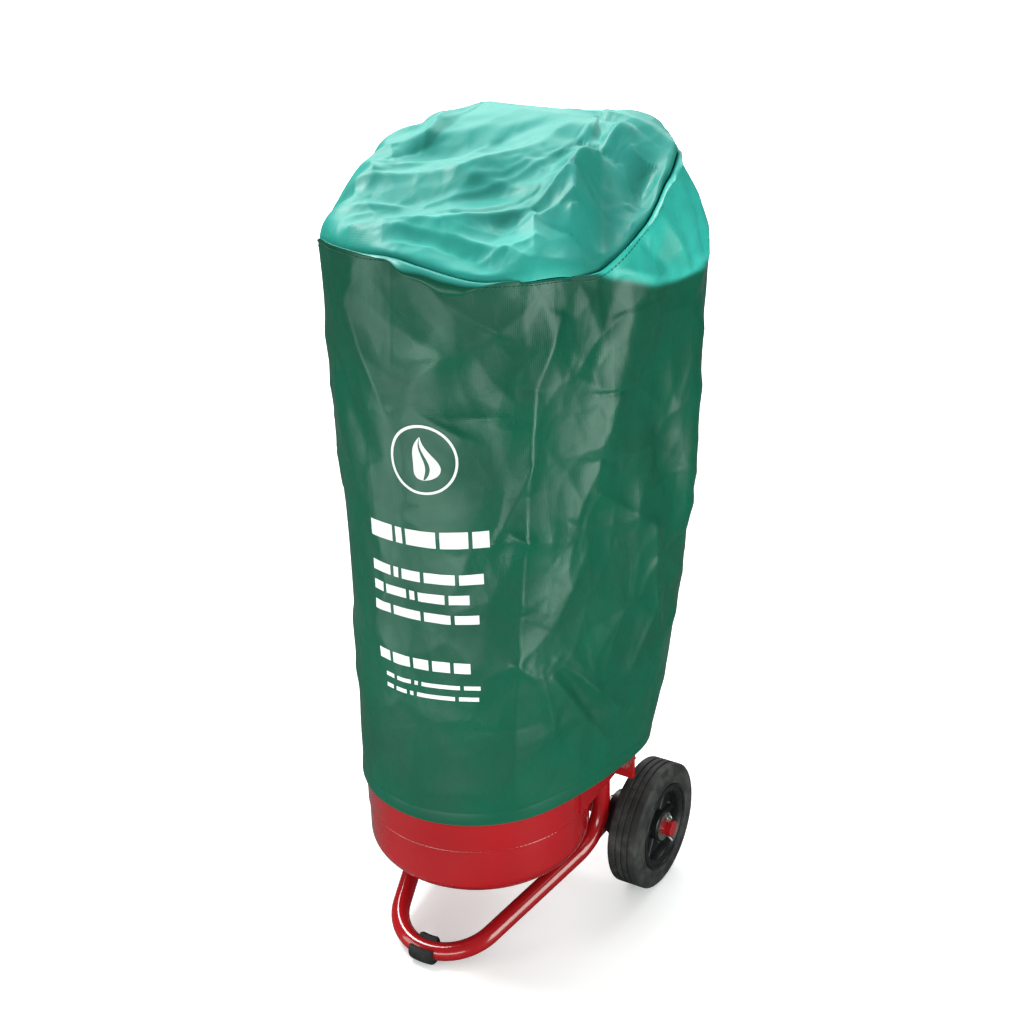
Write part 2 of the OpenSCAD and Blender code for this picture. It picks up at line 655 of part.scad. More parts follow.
module cover_side() color("seagreen") on_vessel_axis()
    shell([for (row = cover_rows) cover_ring(row, 0)], [for (row = cover_rows) cover_ring(row, cloth_t)], false);

module cover_top() color("mediumaquamarine") on_vessel_axis()
    shell([for (s = concat([0], tent_shares)) tent_ring(s, 0)],
        [for (s = concat([0], tent_shares)) tent_ring(s, cloth_t)], true);

cylinder_shell();
bottom_head();
top_head();
neck_ring();
neck_seal();
siphon_tube();
powder_charge();
valve_body();
hose_outlet();
valve_stem();
valve_spring();
carry_handle();
squeeze_lever();
lever_pivot_pin();
safety_pin();
pull_ring();
tamper_tie();
gauge_case();
gauge_dial();
gauge_pivot();
gauge_needle();
gauge_lens();
foot_loop();
foot_pad();
upright_left();
upright_right();
push_handle();
handle_grip();
lower_saddle_left();
lower_saddle_right();
upper_saddle_left();
upper_saddle_right();
lower_rear_band();
upper_rear_band();
band_bolts();
band_nuts();
axle();
axle_bracket_left();
axle_bracket_right();
inner_washers();
outer_washers();
split_pins();
tyre_left();
tyre_right();
rim_left();
rim_right();
hub_bush_left();
hub_bush_right();
cover_side();
cover_top();
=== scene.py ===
import json
import math

import bmesh
import bpy
import numpy as np
from mathutils import Matrix, Vector


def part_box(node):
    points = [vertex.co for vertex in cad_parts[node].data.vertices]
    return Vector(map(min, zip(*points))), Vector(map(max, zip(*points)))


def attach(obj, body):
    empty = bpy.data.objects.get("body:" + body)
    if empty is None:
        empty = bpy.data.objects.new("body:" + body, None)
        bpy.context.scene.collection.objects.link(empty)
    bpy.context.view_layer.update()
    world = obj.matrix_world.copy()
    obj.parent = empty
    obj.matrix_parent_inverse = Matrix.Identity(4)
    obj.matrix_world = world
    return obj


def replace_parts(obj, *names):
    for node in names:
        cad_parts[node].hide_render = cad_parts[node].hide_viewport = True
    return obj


# The looks of a wheeled fire extinguisher that stands under its cloth dust cover.
# Metres, +Z up. The vessel's axis is the vertical line at x = 0, y = AXIS_Y.
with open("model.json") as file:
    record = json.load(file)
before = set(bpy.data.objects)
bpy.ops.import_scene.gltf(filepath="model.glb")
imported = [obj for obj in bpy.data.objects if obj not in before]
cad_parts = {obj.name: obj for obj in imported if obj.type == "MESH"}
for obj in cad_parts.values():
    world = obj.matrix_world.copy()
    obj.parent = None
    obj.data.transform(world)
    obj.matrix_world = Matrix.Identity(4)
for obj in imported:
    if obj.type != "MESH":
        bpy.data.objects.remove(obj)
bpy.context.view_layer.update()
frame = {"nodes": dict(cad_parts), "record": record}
NODES = frame["nodes"]


def middle(node):
    """Centre of a CAD node's box."""
    low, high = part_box(node)
    return (low + high) / 2


AXIS_Y = middle("cylinder_shell").y
ROOT = "vessel_and_frame"

# ---------- camera, floor and lights ----------

CAMERA_AT = Vector((0.99074, -1.59456, 1.39971))
CAMERA_YAW, CAMERA_PITCH, CAMERA_ROLL = (math.radians(a) for a in (31.46, 25.48, -1.56))
CAMERA_LENS = 63.28


def make_camera():
    """Looks down at the front right of the object from a little over its own height."""
    ahead = Vector((
        -math.sin(CAMERA_YAW) * math.cos(CAMERA_PITCH),
        math.cos(CAMERA_YAW) * math.cos(CAMERA_PITCH),
        -math.sin(CAMERA_PITCH),
    ))
    level = Vector((math.cos(CAMERA_YAW), math.sin(CAMERA_YAW), 0))
    raised = level.cross(ahead)
    right = level * math.cos(CAMERA_ROLL) + raised * math.sin(CAMERA_ROLL)
    up = raised * math.cos(CAMERA_ROLL) - level * math.sin(CAMERA_ROLL)
    data = bpy.data.cameras.new("camera")
    data.lens = CAMERA_LENS
    data.sensor_width = 36
    camera = bpy.data.objects.new("camera", data)
    turn = Matrix((right, up, -ahead)).transposed().to_4x4()
    camera.matrix_world = Matrix.Translation(CAMERA_AT) @ turn
    bpy.context.scene.collection.objects.link(camera)
    bpy.context.scene.camera = camera


def area_light(name, at, aim, size, power, colour):
    """A soft rectangular light at a place, turned towards aim."""
    data = bpy.data.lights.new(name, "AREA")
    data.shape = "RECTANGLE"
    data.size, data.size_y = size
    data.energy = power
    data.color = colour
    light = bpy.data.objects.new(name, data)
    light.location = at
    light.rotation_euler = (Vector(aim) - Vector(at)).to_track_quat("-Z", "Y").to_euler()
    bpy.context.scene.collection.objects.link(light)


# Area lights: place, point they face, width and height, power, colour. The cards are low panels whose
# reflections are the light bands on the cloth.
WHITE, COOL = (1.0, 1.0, 1.0), (0.86, 1.0, 0.93)
LIGHTS = {
    "overhead": ((-1.3, 0.0, 2.6), (0, 0, 0.6), (1.1, 0.9), 54, WHITE),
    "far_floor": ((-2.2, 4.6, 3.6), (-2.2, 4.4, 0), (7, 5), 420, WHITE),
    "card_left": ((-0.58, -0.72, 0.36), (0, AXIS_Y, 0.45), (0.32, 0.70), 2.0, COOL),
    "card_front": ((0.17, -1.30, 0.16), (0, AXIS_Y, 0.65), (1.30, 0.32), 7.0, COOL),
    "card_right": ((1.12, -0.20, 0.43), (0, AXIS_Y, 0.55), (0.46, 0.84), 7.0, COOL),
}
FLOOR_HALF = 8.0
# How bright the world is as a light, as the background and in reflections.
SKY_LIGHT = 0.50
SKY_GREY = {"Is Camera Ray": 1.0, "Is Glossy Ray": 0.04}


def make_studio():
    """Pale floor under a pale world, both dark in reflections, one light overhead and low cards in front."""
    bpy.context.scene.view_settings.view_transform = "Standard"
    world = bpy.data.worlds.new("studio")
    world.use_nodes = True
    tree = world.node_tree
    sky = tree.nodes["Background"]
    ray = tree.nodes.new("ShaderNodeLightPath")
    shown = None
    for kind, grey in SKY_GREY.items():
        shade = tree.nodes.new("ShaderNodeMix")
        shade.data_type = "RGBA"
        shade.inputs[6].default_value = (*[SKY_LIGHT] * 3, 1)
        shade.inputs[7].default_value = (*[grey] * 3, 1)
        if shown:
            tree.links.new(shown, shade.inputs[6])
        tree.links.new(ray.outputs[kind], shade.inputs["Factor"])
        shown = shade.outputs[2]
    tree.links.new(shown, sky.inputs["Color"])
    sky.inputs["Strength"].default_value = 1.0
    bpy.context.scene.world = world
    for name, facts in LIGHTS.items():
        area_light(name, *facts)
    corners = [(x * FLOOR_HALF, y * FLOOR_HALF, 0) for x, y in ((-1, -1), (1, -1), (1, 1), (-1, 1))]
    add_mesh("floor", corners, [(0, 1, 2, 3)], floor_finish())


# ---------- materials ----------

class Finish:
    """A Principled material being built, with short calls for the nodes it needs."""

    def __init__(self, name, colour, roughness, metallic=0.0, **sockets):
        self.material = bpy.data.materials.new(name)
        self.material.use_nodes = True
        self.tree = self.material.node_tree
        self.shader = self.tree.nodes["Principled BSDF"]
        self.set("Base Color", (*colour, 1))
        self.set("Roughness", roughness)
        self.set("Metallic", metallic)
        for socket, value in sockets.items():
            self.set(socket.replace("_", " "), value)
        self.bumps = None

    def set(self, socket, value):
        self.shader.inputs[socket].default_value = value

    def node(self, kind, **settings):
        made = self.tree.nodes.new(kind)
        for key, value in settings.items():
            if key in made.inputs:
                made.inputs[key].default_value = value
            else:
                setattr(made, key, value)
        return made

    def link(self, source, target):
        self.tree.links.new(source, target)

    def place(self, kind="Object", scale=(1, 1, 1)):
        """Texture coordinates, stretched by scale."""
        coordinates = self.node("ShaderNodeTexCoord")
        mapping = self.node("ShaderNodeMapping", Scale=scale)
        self.link(coordinates.outputs[kind], mapping.inputs["Vector"])
        return mapping.outputs["Vector"]

    def noise(self, scale, detail=3.0, rough=0.5, where=None):
        made = self.node("ShaderNodeTexNoise", Scale=scale, Detail=detail, Roughness=rough)
        self.link(where or self.place(), made.inputs["Vector"])
        return made.outputs["Fac"]

    def spread(self, value, low, high, to_low=0.0, to_high=1.0):
        """Maps value from low..high to to_low..to_high, clamped."""
        made = self.node("ShaderNodeMapRange")
        for key, number in (("From Min", low), ("From Max", high), ("To Min", to_low), ("To Max", to_high)):
            made.inputs[key].default_value = number
        self.link(value, made.inputs["Value"])
        return made.outputs["Result"]

    def tint(self, factor, colour):
        """Mixes another colour into the base colour where factor is high."""
        mix = self.node("ShaderNodeMix", data_type="RGBA")
        base = self.shader.inputs["Base Color"]
        if base.is_linked:
            self.link(base.links[0].from_socket, mix.inputs[6])
        else:
            mix.inputs[6].default_value = base.default_value
        mix.inputs[7].default_value = (*colour, 1)
        self.link(factor, mix.inputs["Factor"])
        self.link(mix.outputs[2], base)

    def rough(self, factor, low, high):
        """Roughness from low to high as factor goes from 0.3 to 0.7."""
        self.link(self.spread(factor, 0.3, 0.7, low, high), self.shader.inputs["Roughness"])

    def bump(self, height, strength, distance):
        made = self.node("ShaderNodeBump", Strength=strength, Distance=distance)
        self.link(height, made.inputs["Height"])
        if self.bumps:
            self.link(self.bumps, made.inputs["Normal"])
        self.bumps = made.outputs["Normal"]
        self.link(self.bumps, self.shader.inputs["Normal"])


def floor_finish():
    """Matt white, dark to reflections, and lit for the camera so that its far edge meets the world."""
    floor = Finish("studio_floor", (0.86, 0.86, 0.86), 0.55)
    floor.tint(floor.noise(1.5), (0.9, 0.9, 0.9))
    ray = floor.node("ShaderNodeLightPath")
    floor.tint(ray.outputs["Is Glossy Ray"], (0.04, 0.045, 0.045))
    floor.set("Emission Color", (1, 1, 1, 1))
    away = floor.node("ShaderNodeVectorMath", operation="LENGTH")
    floor.link(floor.place(), away.inputs[0])
    shown = floor.node("ShaderNodeMath", operation="MULTIPLY")
    floor.link(floor.spread(away.outputs["Value"], 1.5, 5.0, 0.32, 1.5), shown.inputs[0])
    floor.link(ray.outputs["Is Camera Ray"], shown.inputs[1])
    floor.link(shown.outputs[0], floor.shader.inputs["Emission Strength"])
    return floor.material


def red_paint():
    """Stoved gloss enamel: slight orange peel, a little shade variation and fine scuffs."""
    paint = Finish("red_enamel", (0.38, 0.007, 0.011), 0.20, Coat_Weight=0.8, Coat_Roughness=0.04)
    paint.tint(paint.spread(paint.noise(9, 4), 0.35, 0.7), (0.33, 0.006, 0.009))
    scuffs = paint.noise(90, 6, 0.7, paint.place(scale=(1, 1, 0.25)))
    paint.tint(paint.spread(scuffs, 0.74, 0.80, 0, 0.35), (0.45, 0.06, 0.05))
    paint.rough(paint.noise(12), 0.16, 0.24)
    paint.bump(paint.noise(300, 1), 0.03, 0.0003)
    return paint.material


def rubber(name, colour, dusty):
    """Moulded rubber with a dull skin, fine grain and pale dust."""
    made = Finish(name, colour, 0.68, Specular_IOR_Level=0.4)
    dust = made.spread(made.noise(38, 5, 0.65), 0.45, 0.75, 0, dusty)
    made.tint(dust, (0.16, 0.15, 0.13))
    made.rough(made.noise(50, 3), 0.58, 0.80)
    made.bump(made.noise(900, 2), 0.12, 0.0004)
    made.bump(made.noise(90, 3), 0.10, 0.0008)
    return made.material


def plastic(name, colour, roughness=0.42):
    made = Finish(name, colour, roughness)
    lighter = tuple(min(1, c * 1.5 + 0.006) for c in colour)
    made.tint(made.spread(made.noise(30, 4), 0.4, 0.75, 0, 0.6), lighter)
    made.rough(made.noise(70), roughness - 0.08, roughness + 0.10)
    made.bump(made.noise(650, 2), 0.10, 0.0003)
    return made.material


def metal(name, colour, roughness, dull=(0.35, 0.34, 0.32), grain=(1, 1, 1)):
    """Bare or plated metal with brushed grain and dull patches."""
    made = Finish(name, colour, roughness, metallic=1.0)
    made.tint(made.spread(made.noise(45, 5, 0.6), 0.5, 0.8, 0, 0.7), dull)
    streaks = made.noise(300, 3, 0.6, made.place(scale=grain))
    made.rough(streaks, max(roughness - 0.08, 0.05), roughness + 0.12)
    made.bump(streaks, 0.08, 0.0003)
    return made.material


# Painted light: the lighter green the cloth is tinted where it faces up, as though lit from above.
TOPLIGHT_PAINTED_GREEN = (0.030, 0.370, 0.310)
# Painted light: the light green painted on the lit shoulder below the seam and on the top's front slope.
PAINTED_LIGHT_GREEN = (0.030, 0.500, 0.420)
# Creases of the cloth by bump: cells a metre, strength, height.
CLOTH_CREASES = ((16, 0.22, 0.0055), (45, 0.12, 0.0018))
WEAVE_SCALE = 160.0


def cover_cloth(name, colour, shade, gloss, creased=1.0):
    """Coated woven cloth: fine weave, small sharp crumples, and painted light: paler where it faces up and
    where its pale attribute is set.
    """
    cloth = Finish(name, colour, gloss, Specular_IOR_Level=0.45)
    cloth.tint(cloth.spread(cloth.noise(7, 5, 0.6), 0.35, 0.7), shade)
    # Painted light: faces turned up are tinted lighter, as though lit from above.
    facing = cloth.node("ShaderNodeSeparateXYZ")
    cloth.link(cloth.node("ShaderNodeNewGeometry").outputs["Normal"], facing.inputs[0])
    cloth.tint(cloth.spread(facing.outputs["Z"], 0.42, 0.72), TOPLIGHT_PAINTED_GREEN)
    # Painted light: lighter green where the pale attribute marks the lit shoulder and the top's front slope,
    # broken up by noise.
    pale = cloth.node("ShaderNodeMath", operation="MULTIPLY")
    cloth.link(cloth.node("ShaderNodeAttribute", attribute_name="pale").outputs["Fac"], pale.inputs[0])
    cloth.link(cloth.spread(cloth.noise(18, 4, 0.6), 0.3, 0.6, 0.65, 1.0), pale.inputs[1])
    cloth.tint(pale.outputs[0], PAINTED_LIGHT_GREEN)
    cloth.rough(cloth.noise(14, 4), gloss - 0.06, gloss + 0.08)
    weave_place = cloth.place("UV")
    for direction in ("X", "Y"):
        threads = cloth.node(
            "ShaderNodeTexWave", bands_direction=direction, Scale=WEAVE_SCALE, Distortion=0.4)
        cloth.link(weave_place, threads.inputs["Vector"])
        cloth.bump(threads.outputs["Fac"], 0.10, 0.0003)
    for scale, strength, height in CLOTH_CREASES:
        crease = cloth.node("ShaderNodeTexVoronoi", voronoi_dimensions="2D", feature="DISTANCE_TO_EDGE",
                            Scale=scale)
        bent = cloth.node("ShaderNodeTexNoise", Scale=scale * 0.4, Detail=2.0)
        spot = cloth.place("UV", (1, 0.55, 1))
        cloth.link(spot, bent.inputs["Vector"])
        pull = cloth.node("ShaderNodeMix", data_type="VECTOR", Factor=0.03)
        cloth.link(spot, pull.inputs[4])
        cloth.link(bent.outputs["Color"], pull.inputs[5])
        cloth.link(pull.outputs[1], crease.inputs["Vector"])
        cloth.bump(cloth.spread(crease.outputs["Distance"], 0.0, 0.65, 1, 0), strength * creased, height)
    return cloth.material


def glass():
    made = Finish("gauge_glass", (0.95, 0.97, 0.97), 0.04, Transmission_Weight=1.0, IOR=1.5)
    made.bump(made.noise(200), 0.02, 0.0002)
    return made.material


def dial_face():
    made = Finish("dial_enamel", (0.85, 0.85, 0.82), 0.45)
    made.tint(made.spread(made.noise(120), 0.5, 0.8, 0, 0.4), (0.72, 0.70, 0.62))
    return made.material


def powder():
    made = Finish("dry_powder", (0.80, 0.55, 0.50), 0.95)
    made.tint(made.noise(300, 5, 0.7), (0.88, 0.68, 0.62))
    made.bump(made.noise(1200, 4), 0.3, 0.0005)
    return made.material


# ---------- meshes ----------

def add_mesh(name, points, faces, material, body=None, smooth=True, sharp=40):
    """A new mesh object. Edges steeper than sharp degrees keep a crisp line."""
    mesh = bpy.data.meshes.new(name)
    mesh.from_pydata([tuple(p) for p in points], [], [tuple(f) for f in faces])
    mesh.polygons.foreach_set("use_smooth", [smooth] * len(mesh.polygons))
    if smooth:
        mesh.set_sharp_from_angle(angle=math.radians(sharp))
    mesh.materials.append(material)
    piece = bpy.data.objects.new(name, mesh)
    bpy.context.scene.collection.objects.link(piece)
    if body:
        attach(piece, body)
    return piece


def tidy_mesh(piece, gap=1e-5):
    """Joins coinciding points and turns every face outward."""
    work = bmesh.new()
    work.from_mesh(piece.data)
    bmesh.ops.remove_doubles(work, verts=work.verts, dist=gap)
    bmesh.ops.recalc_face_normals(work, faces=work.faces)
    work.to_mesh(piece.data)
    work.free()


def grid_faces(rows, columns, wrap_rows=False, wrap_columns=True):
    """Quads over a grid of points stored row by row."""
    return [
        (
            i * columns + j,
            i * columns + (j + 1) % columns,
            (i + 1) % rows * columns + (j + 1) % columns,
            (i + 1) % rows * columns + j,
        )
        for i in range(rows if wrap_rows else rows - 1)
        for j in range(columns if wrap_columns else columns - 1)
    ]


def round_angles(count):
    """Evenly spaced angles once round a circle."""
    return [2 * math.pi * j / count for j in range(count)]


def arc(centre, radius, start, end, steps):
    """Points on an arc in a profile's plane, angles in degrees."""
    return [
        (centre[0] + radius * math.cos(a), centre[1] + radius * math.sin(a))
        for a in np.radians(np.linspace(start, end, steps + 1))
    ]


def lathe(name, profile, axis, material, body, steps=144):
    """Turns a closed profile of (radius, distance along the axis). axis is (origin, direction)."""
    origin, along = Vector(axis[0]), Vector(axis[1]).normalized()
    side = along.orthogonal().normalized()
    other = along.cross(side)
    points = [
        origin + along * h + (side * math.cos(t) + other * math.sin(t)) * r
        for r, h in profile
        for t in round_angles(steps)
    ]
    piece = add_mesh(name, points, grid_faces(len(profile), steps, wrap_rows=True), material, body)
    tidy_mesh(piece)
    piece.data.set_sharp_from_angle(angle=math.radians(40))
    return piece


def tube(name, stations, radius, wall, material, body, sides=40):
    """Sweeps a hollow round tube along stations of (point, direction, reference normal)."""
    rings = []
    for inner in (False, True):
        r = radius - wall if inner else radius
        for point, direction, normal in (reversed(stations) if inner else stations):
            across = direction.cross(normal).normalized()
            raised = across.cross(direction).normalized()
            rings.append([
                point + (across * math.cos(t) + raised * math.sin(t)) * r for t in round_angles(sides)
            ])
    points = [p for ring in rings for p in ring]
    piece = add_mesh(name, points, grid_faces(len(rings), sides, wrap_rows=True), material, body)
    tidy_mesh(piece, 0)
    return piece


# ---------- vessel ----------

UP = Vector((0, 0, 1))
ROUND_SKIRT = 0.0009


def on_axis(z=0.0):
    return Vector((0, AXIS_Y, z))


def half_dish(radius, depth, steps=36):
    """Half outline of a dished head, pole first, as (radius, distance from the rim towards the pole)."""
    return [(radius * math.sin(a), depth * math.cos(a)) for a in np.linspace(0, math.pi / 2, steps + 1)]


VESSEL_WALL = 0.0025
NECK_BORE_R = 0.021


def make_vessel(paint):
    """The lower head, joggled into the rolled shell, and the upper head, each a closed shell."""
    wall = VESSEL_WALL

    def turned(name, profile, node):
        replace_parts(lathe(name, profile, (on_axis(), UP), paint, ROOT, 200), node)

    low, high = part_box("bottom_head")
    head_r, joint = high.x, high.z
    shell_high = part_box("cylinder_shell")[1]
    shell_r = shell_high.x
    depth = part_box("top_head")[1].z - shell_high.z
    rim = low.z + depth
    outer = [(r, rim - d) for r, d in half_dish(head_r, depth)]
    inner = [(r, rim - d) for r, d in half_dish(head_r - wall, depth - wall)]
    profile = outer + [(head_r, joint), (head_r - wall, joint)] + inner[::-1]
    turned("lower_head", profile, "bottom_head")
    edge = arc((shell_r - ROUND_SKIRT, joint + ROUND_SKIRT), ROUND_SKIRT, -90, 0, 5)
    profile = edge + [(shell_r, shell_high.z), (shell_r - wall, shell_high.z), (shell_r - wall, joint)]
    turned("rolled_shell", profile, "cylinder_shell")
    top = shell_high.z
    outer = [(r, top + d) for r, d in half_dish(shell_r, depth) if r > NECK_BORE_R]
    inner = [(r, top + d) for r, d in half_dish(shell_r - wall, depth - wall) if r > NECK_BORE_R]
    turned("upper_head", outer + inner[::-1], "top_head")
    weld_ring("lower_joint_bead", head_r + 0.0002, joint - 0.0004, 0.0011, paint)
    weld_ring("upper_joint_bead", shell_r - 0.0002, top, 0.0016, paint)


def weld_ring(name, radius, z, bead_r, paint):
    """A rippled weld bead round the vessel."""
    count, sides = 720, 8
    points = []
    for turn in round_angles(count):
        out = Vector((math.cos(turn), math.sin(turn), 0))
        swell = bead_r * (1 + 0.16 * math.sin(turn * 150))
        for a in round_angles(sides):
            points.append(on_axis(z) + out * (radius + swell * math.cos(a)) + UP * swell * math.sin(a))
    faces = grid_faces(count, sides, wrap_rows=True)
    tidy_mesh(add_mesh(name, points, faces, paint, ROOT), 0)


# ---------- tube frame ----------

TUBE_R = 0.011
TUBE_WALL = 0.002
LOOP_FRONT = Vector((0, AXIS_Y - 0.130, 0.015))
LOOP_R = 0.066
LOOP_ANGLE = math.atan(0.32)
LOOP_BACK = Vector((0, math.cos(LOOP_ANGLE), math.sin(LOOP_ANGLE)))
LOOP_NORMAL = Vector((0, -math.sin(LOOP_ANGLE), math.cos(LOOP_ANGLE)))
CORNER_BEND_R = 0.060
HANDLE_BEND_R = 0.050
KNEE_R = 0.080
KNEE_Z = 0.700
BEND_STEPS = 28


def mirrored(stations):
    """The same run of stations on the other side of the centre plane, in the opposite order."""
    flip = Vector((-1, 1, 1))
    return [(p * flip, (d * flip) * -1, n * flip) for p, d, n in reversed(stations)]


def foot_loop_side():
    """Stations of the right half of the foot loop: round its front, along the leg, up to the upright."""
    upright = middle("upright_right")
    back, normal = LOOP_BACK, LOOP_NORMAL
    reach = (upright.y - LOOP_FRONT.y) / math.cos(LOOP_ANGLE)
    far = math.hypot(upright.x, reach - LOOP_R)
    end = math.atan2(reach - LOOP_R, upright.x) - math.acos(LOOP_R / far)
    stations = []
    for a in np.linspace(-math.pi / 2, end, BEND_STEPS + 1):
        at = LOOP_FRONT + Vector((LOOP_R * math.cos(a), 0, 0)) + back * (LOOP_R + LOOP_R * math.sin(a))
        stations.append((at, Vector((-math.sin(a), 0, 0)) + back * math.cos(a), normal))
    corner = LOOP_FRONT + Vector((upright.x, 0, 0)) + back * reach
    leg = (corner - stations[-1][0]).normalized()
    tilt = math.asin(leg.z)
    raised = (UP - leg * leg.z).normalized()
    bend_start = corner - leg * (CORNER_BEND_R * math.tan((math.pi / 2 - tilt) / 2))
    for a in np.linspace(0, math.pi / 2 - tilt, BEND_STEPS + 1):
        along, inward = CORNER_BEND_R * math.sin(a), CORNER_BEND_R * (1 - math.cos(a))
        ahead = leg * math.cos(a) + raised * math.sin(a)
        stations.append((bend_start + leg * along + raised * inward, ahead,
                         raised * math.cos(a) - leg * math.sin(a)))
    return stations


def push_handle_side():
    """Stations of the right half of the push handle: over the knee, up the arm, round to the bar."""
    upright = middle("upright_right")
    bar = middle("handle_grip")
    lean = math.atan2(bar.y - upright.y, bar.z - KNEE_Z)
    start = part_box("upright_right")[1].z
    arm = Vector((0, math.sin(lean), math.cos(lean)))
    length = math.hypot(bar.y - upright.y, bar.z - KNEE_Z)
    stations = []
    for a in np.linspace(0, lean, 12):
        at = Vector((upright.x, upright.y + KNEE_R * (1 - math.cos(a)), start + KNEE_R * math.sin(a)))
        stations.append((at, Vector((0, math.sin(a), math.cos(a))), Vector((0, math.cos(a), -math.sin(a)))))
    knee = Vector((0, upright.y, KNEE_Z))
    normal = Vector((0, math.cos(lean), -math.sin(lean)))
    for a in np.linspace(0, math.pi / 2, BEND_STEPS + 1):
        across = upright.x - HANDLE_BEND_R * (1 - math.cos(a))
        at = knee + Vector((across, 0, 0)) + arm * (length - HANDLE_BEND_R * (1 - math.sin(a)))
        stations.append((at, Vector((-math.sin(a), 0, 0)) + arm * math.cos(a), normal))
    return stations


def make_frame_tubes(paint):
    right = foot_loop_side()
    loop = tube("foot_loop_tube", mirrored(right) + right[1:], TUBE_R, TUBE_WALL, paint, ROOT)
    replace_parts(loop, "foot_loop")
    right = push_handle_side()
    handle = tube("push_handle_tube", right + mirrored(right), TUBE_R, TUBE_WALL, paint, ROOT)
    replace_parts(handle, "push_handle")


PAD_OUTER, PAD_BORE = 0.0168, TUBE_R + 0.0001
PAD_HALF_SPAN, PAD_LIP = math.radians(12), math.radians(38)
PAD_ROWS, PAD_SIDES = 25, 49
# How much its ends taper, and over what share of its half span.
PAD_TAPER, PAD_TAPER_SHARE = 0.0022, 0.14


def make_foot_pad(black):
    """A rubber shoe clipped round the front of the loop, open on top, with rounded lips."""
    bore, back, normal = PAD_BORE, LOOP_BACK, LOOP_NORMAL
    first, last = math.pi / 2 + PAD_LIP, math.pi * 5 / 2 - PAD_LIP
    outline = [(PAD_OUTER, a) for a in np.linspace(first, last, PAD_SIDES)]
    outline += [(bore, a) for a in np.linspace(last, first, PAD_SIDES)]
    rings = []
    for step in np.linspace(-1, 1, PAD_ROWS):
        turn = -math.pi / 2 + PAD_HALF_SPAN * step
        shrink = PAD_TAPER * max(0.0, abs(step) - (1 - PAD_TAPER_SHARE)) / PAD_TAPER_SHARE
        out = Vector((math.cos(turn), 0, 0)) + back * math.sin(turn)
        centre = LOOP_FRONT + back * LOOP_R + out * LOOP_R
        for r, a in outline:
            r = r - (shrink if r > bore else 0)
            point = centre + out * (r * math.cos(a)) + normal * (r * math.sin(a))
            point.z = max(point.z, 0.0)
            rings.append(point)
    count = len(outline)
    faces = grid_faces(PAD_ROWS, count)
    for row, flip in ((0, 1), (PAD_ROWS - 1, -1)):
        base = row * count
        for j in range(PAD_SIDES - 1):
            faces.append([base + k for k in (j, j + 1, count - 2 - j, count - 1 - j)][::flip])
    pad = add_mesh("foot_pad_shoe", rings, faces, black, ROOT)
    tidy_mesh(pad)
    pad.data.set_sharp_from_angle(angle=math.radians(40))
    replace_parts(pad, "foot_pad")


# ---------- wheels ----------

RIM_HALF = 0.0215
WHEEL_R = 0.080
TREAD_HALF = 0.0165
SHOULDER_R = 0.012
RIM_LIP_R = 0.0548
RIM_SEAT_R = 0.050
RIM_BORE = 0.043
HUB_OUTER_R, HUB_INNER_R, HUB_BORE = 0.019, 0.029, 0.013
# Where the hub's barrel ends and steps, as distances from the middle of the wheel, outward.
HUB_FAR, HUB_STEP, HUB_NEAR = 0.0175, -0.0035, -0.0495
GROOVES = (-0.008, 0.0, 0.008)
GROOVE_HALF, GROOVE_DEEP = 0.0012, 0.0020
SIDEWALL_RIBS = (0.0605, 0.0645)
SPOKES, WEB_HALF, RIB_HALF = 6, 0.0025, 0.0105


def tyre_profile():
    """Closed outline of the tyre as (radius, distance across), with three tread grooves and sidewall ribs."""
    side = [(RIM_SEAT_R, -RIM_HALF + 0.0035), (RIM_LIP_R, -RIM_HALF + 0.0035),
            (RIM_LIP_R + 0.0025, -RIM_HALF + 0.0005)]
    for rib in SIDEWALL_RIBS:
        side += [(rib - 0.0006, -RIM_HALF), (rib - 0.0003, -RIM_HALF - 0.0005),
                 (rib + 0.0003, -RIM_HALF - 0.0005), (rib + 0.0006, -RIM_HALF)]
    corner = [
        (WHEEL_R - SHOULDER_R + SHOULDER_R * math.sin(a), -TREAD_HALF - (RIM_HALF - TREAD_HALF) * math.cos(a))
        for a in np.linspace(0, math.pi / 2, 13)
    ]
    tread = []
    for x in GROOVES:
        floor_half = GROOVE_HALF * 0.6
        tread += [
            (WHEEL_R, x - GROOVE_HALF - 0.0003), (WHEEL_R - 0.0003, x - GROOVE_HALF),
            (WHEEL_R - GROOVE_DEEP, x - floor_half), (WHEEL_R - GROOVE_DEEP, x + floor_half),
            (WHEEL_R - 0.0003, x + GROOVE_HALF), (WHEEL_R, x + GROOVE_HALF + 0.0003),
        ]
    half = side + corner
    return half + tread + [(r, -h) for r, h in reversed(half)]


def rim_profile():
    """Closed outline of the rim's hoop as (radius, distance across), its lips rolled."""
    lip = arc((RIM_LIP_R - 0.0017, -RIM_HALF + 0.0017), 0.0017, 180, 360, 8)
    outside = [(r, h) for r, h in lip] + [(RIM_LIP_R, -RIM_HALF + 0.0034), (RIM_SEAT_R, -RIM_HALF + 0.0036)]
    inside = [(RIM_BORE + 0.0045, -RIM_HALF + 0.0012), (RIM_BORE + 0.0015, -RIM_HALF + 0.0035),
              (RIM_BORE, -RIM_HALF + 0.006)]
    half = inside[::-1] + outside
    return half + [(r, -h) for r, h in reversed(half)]


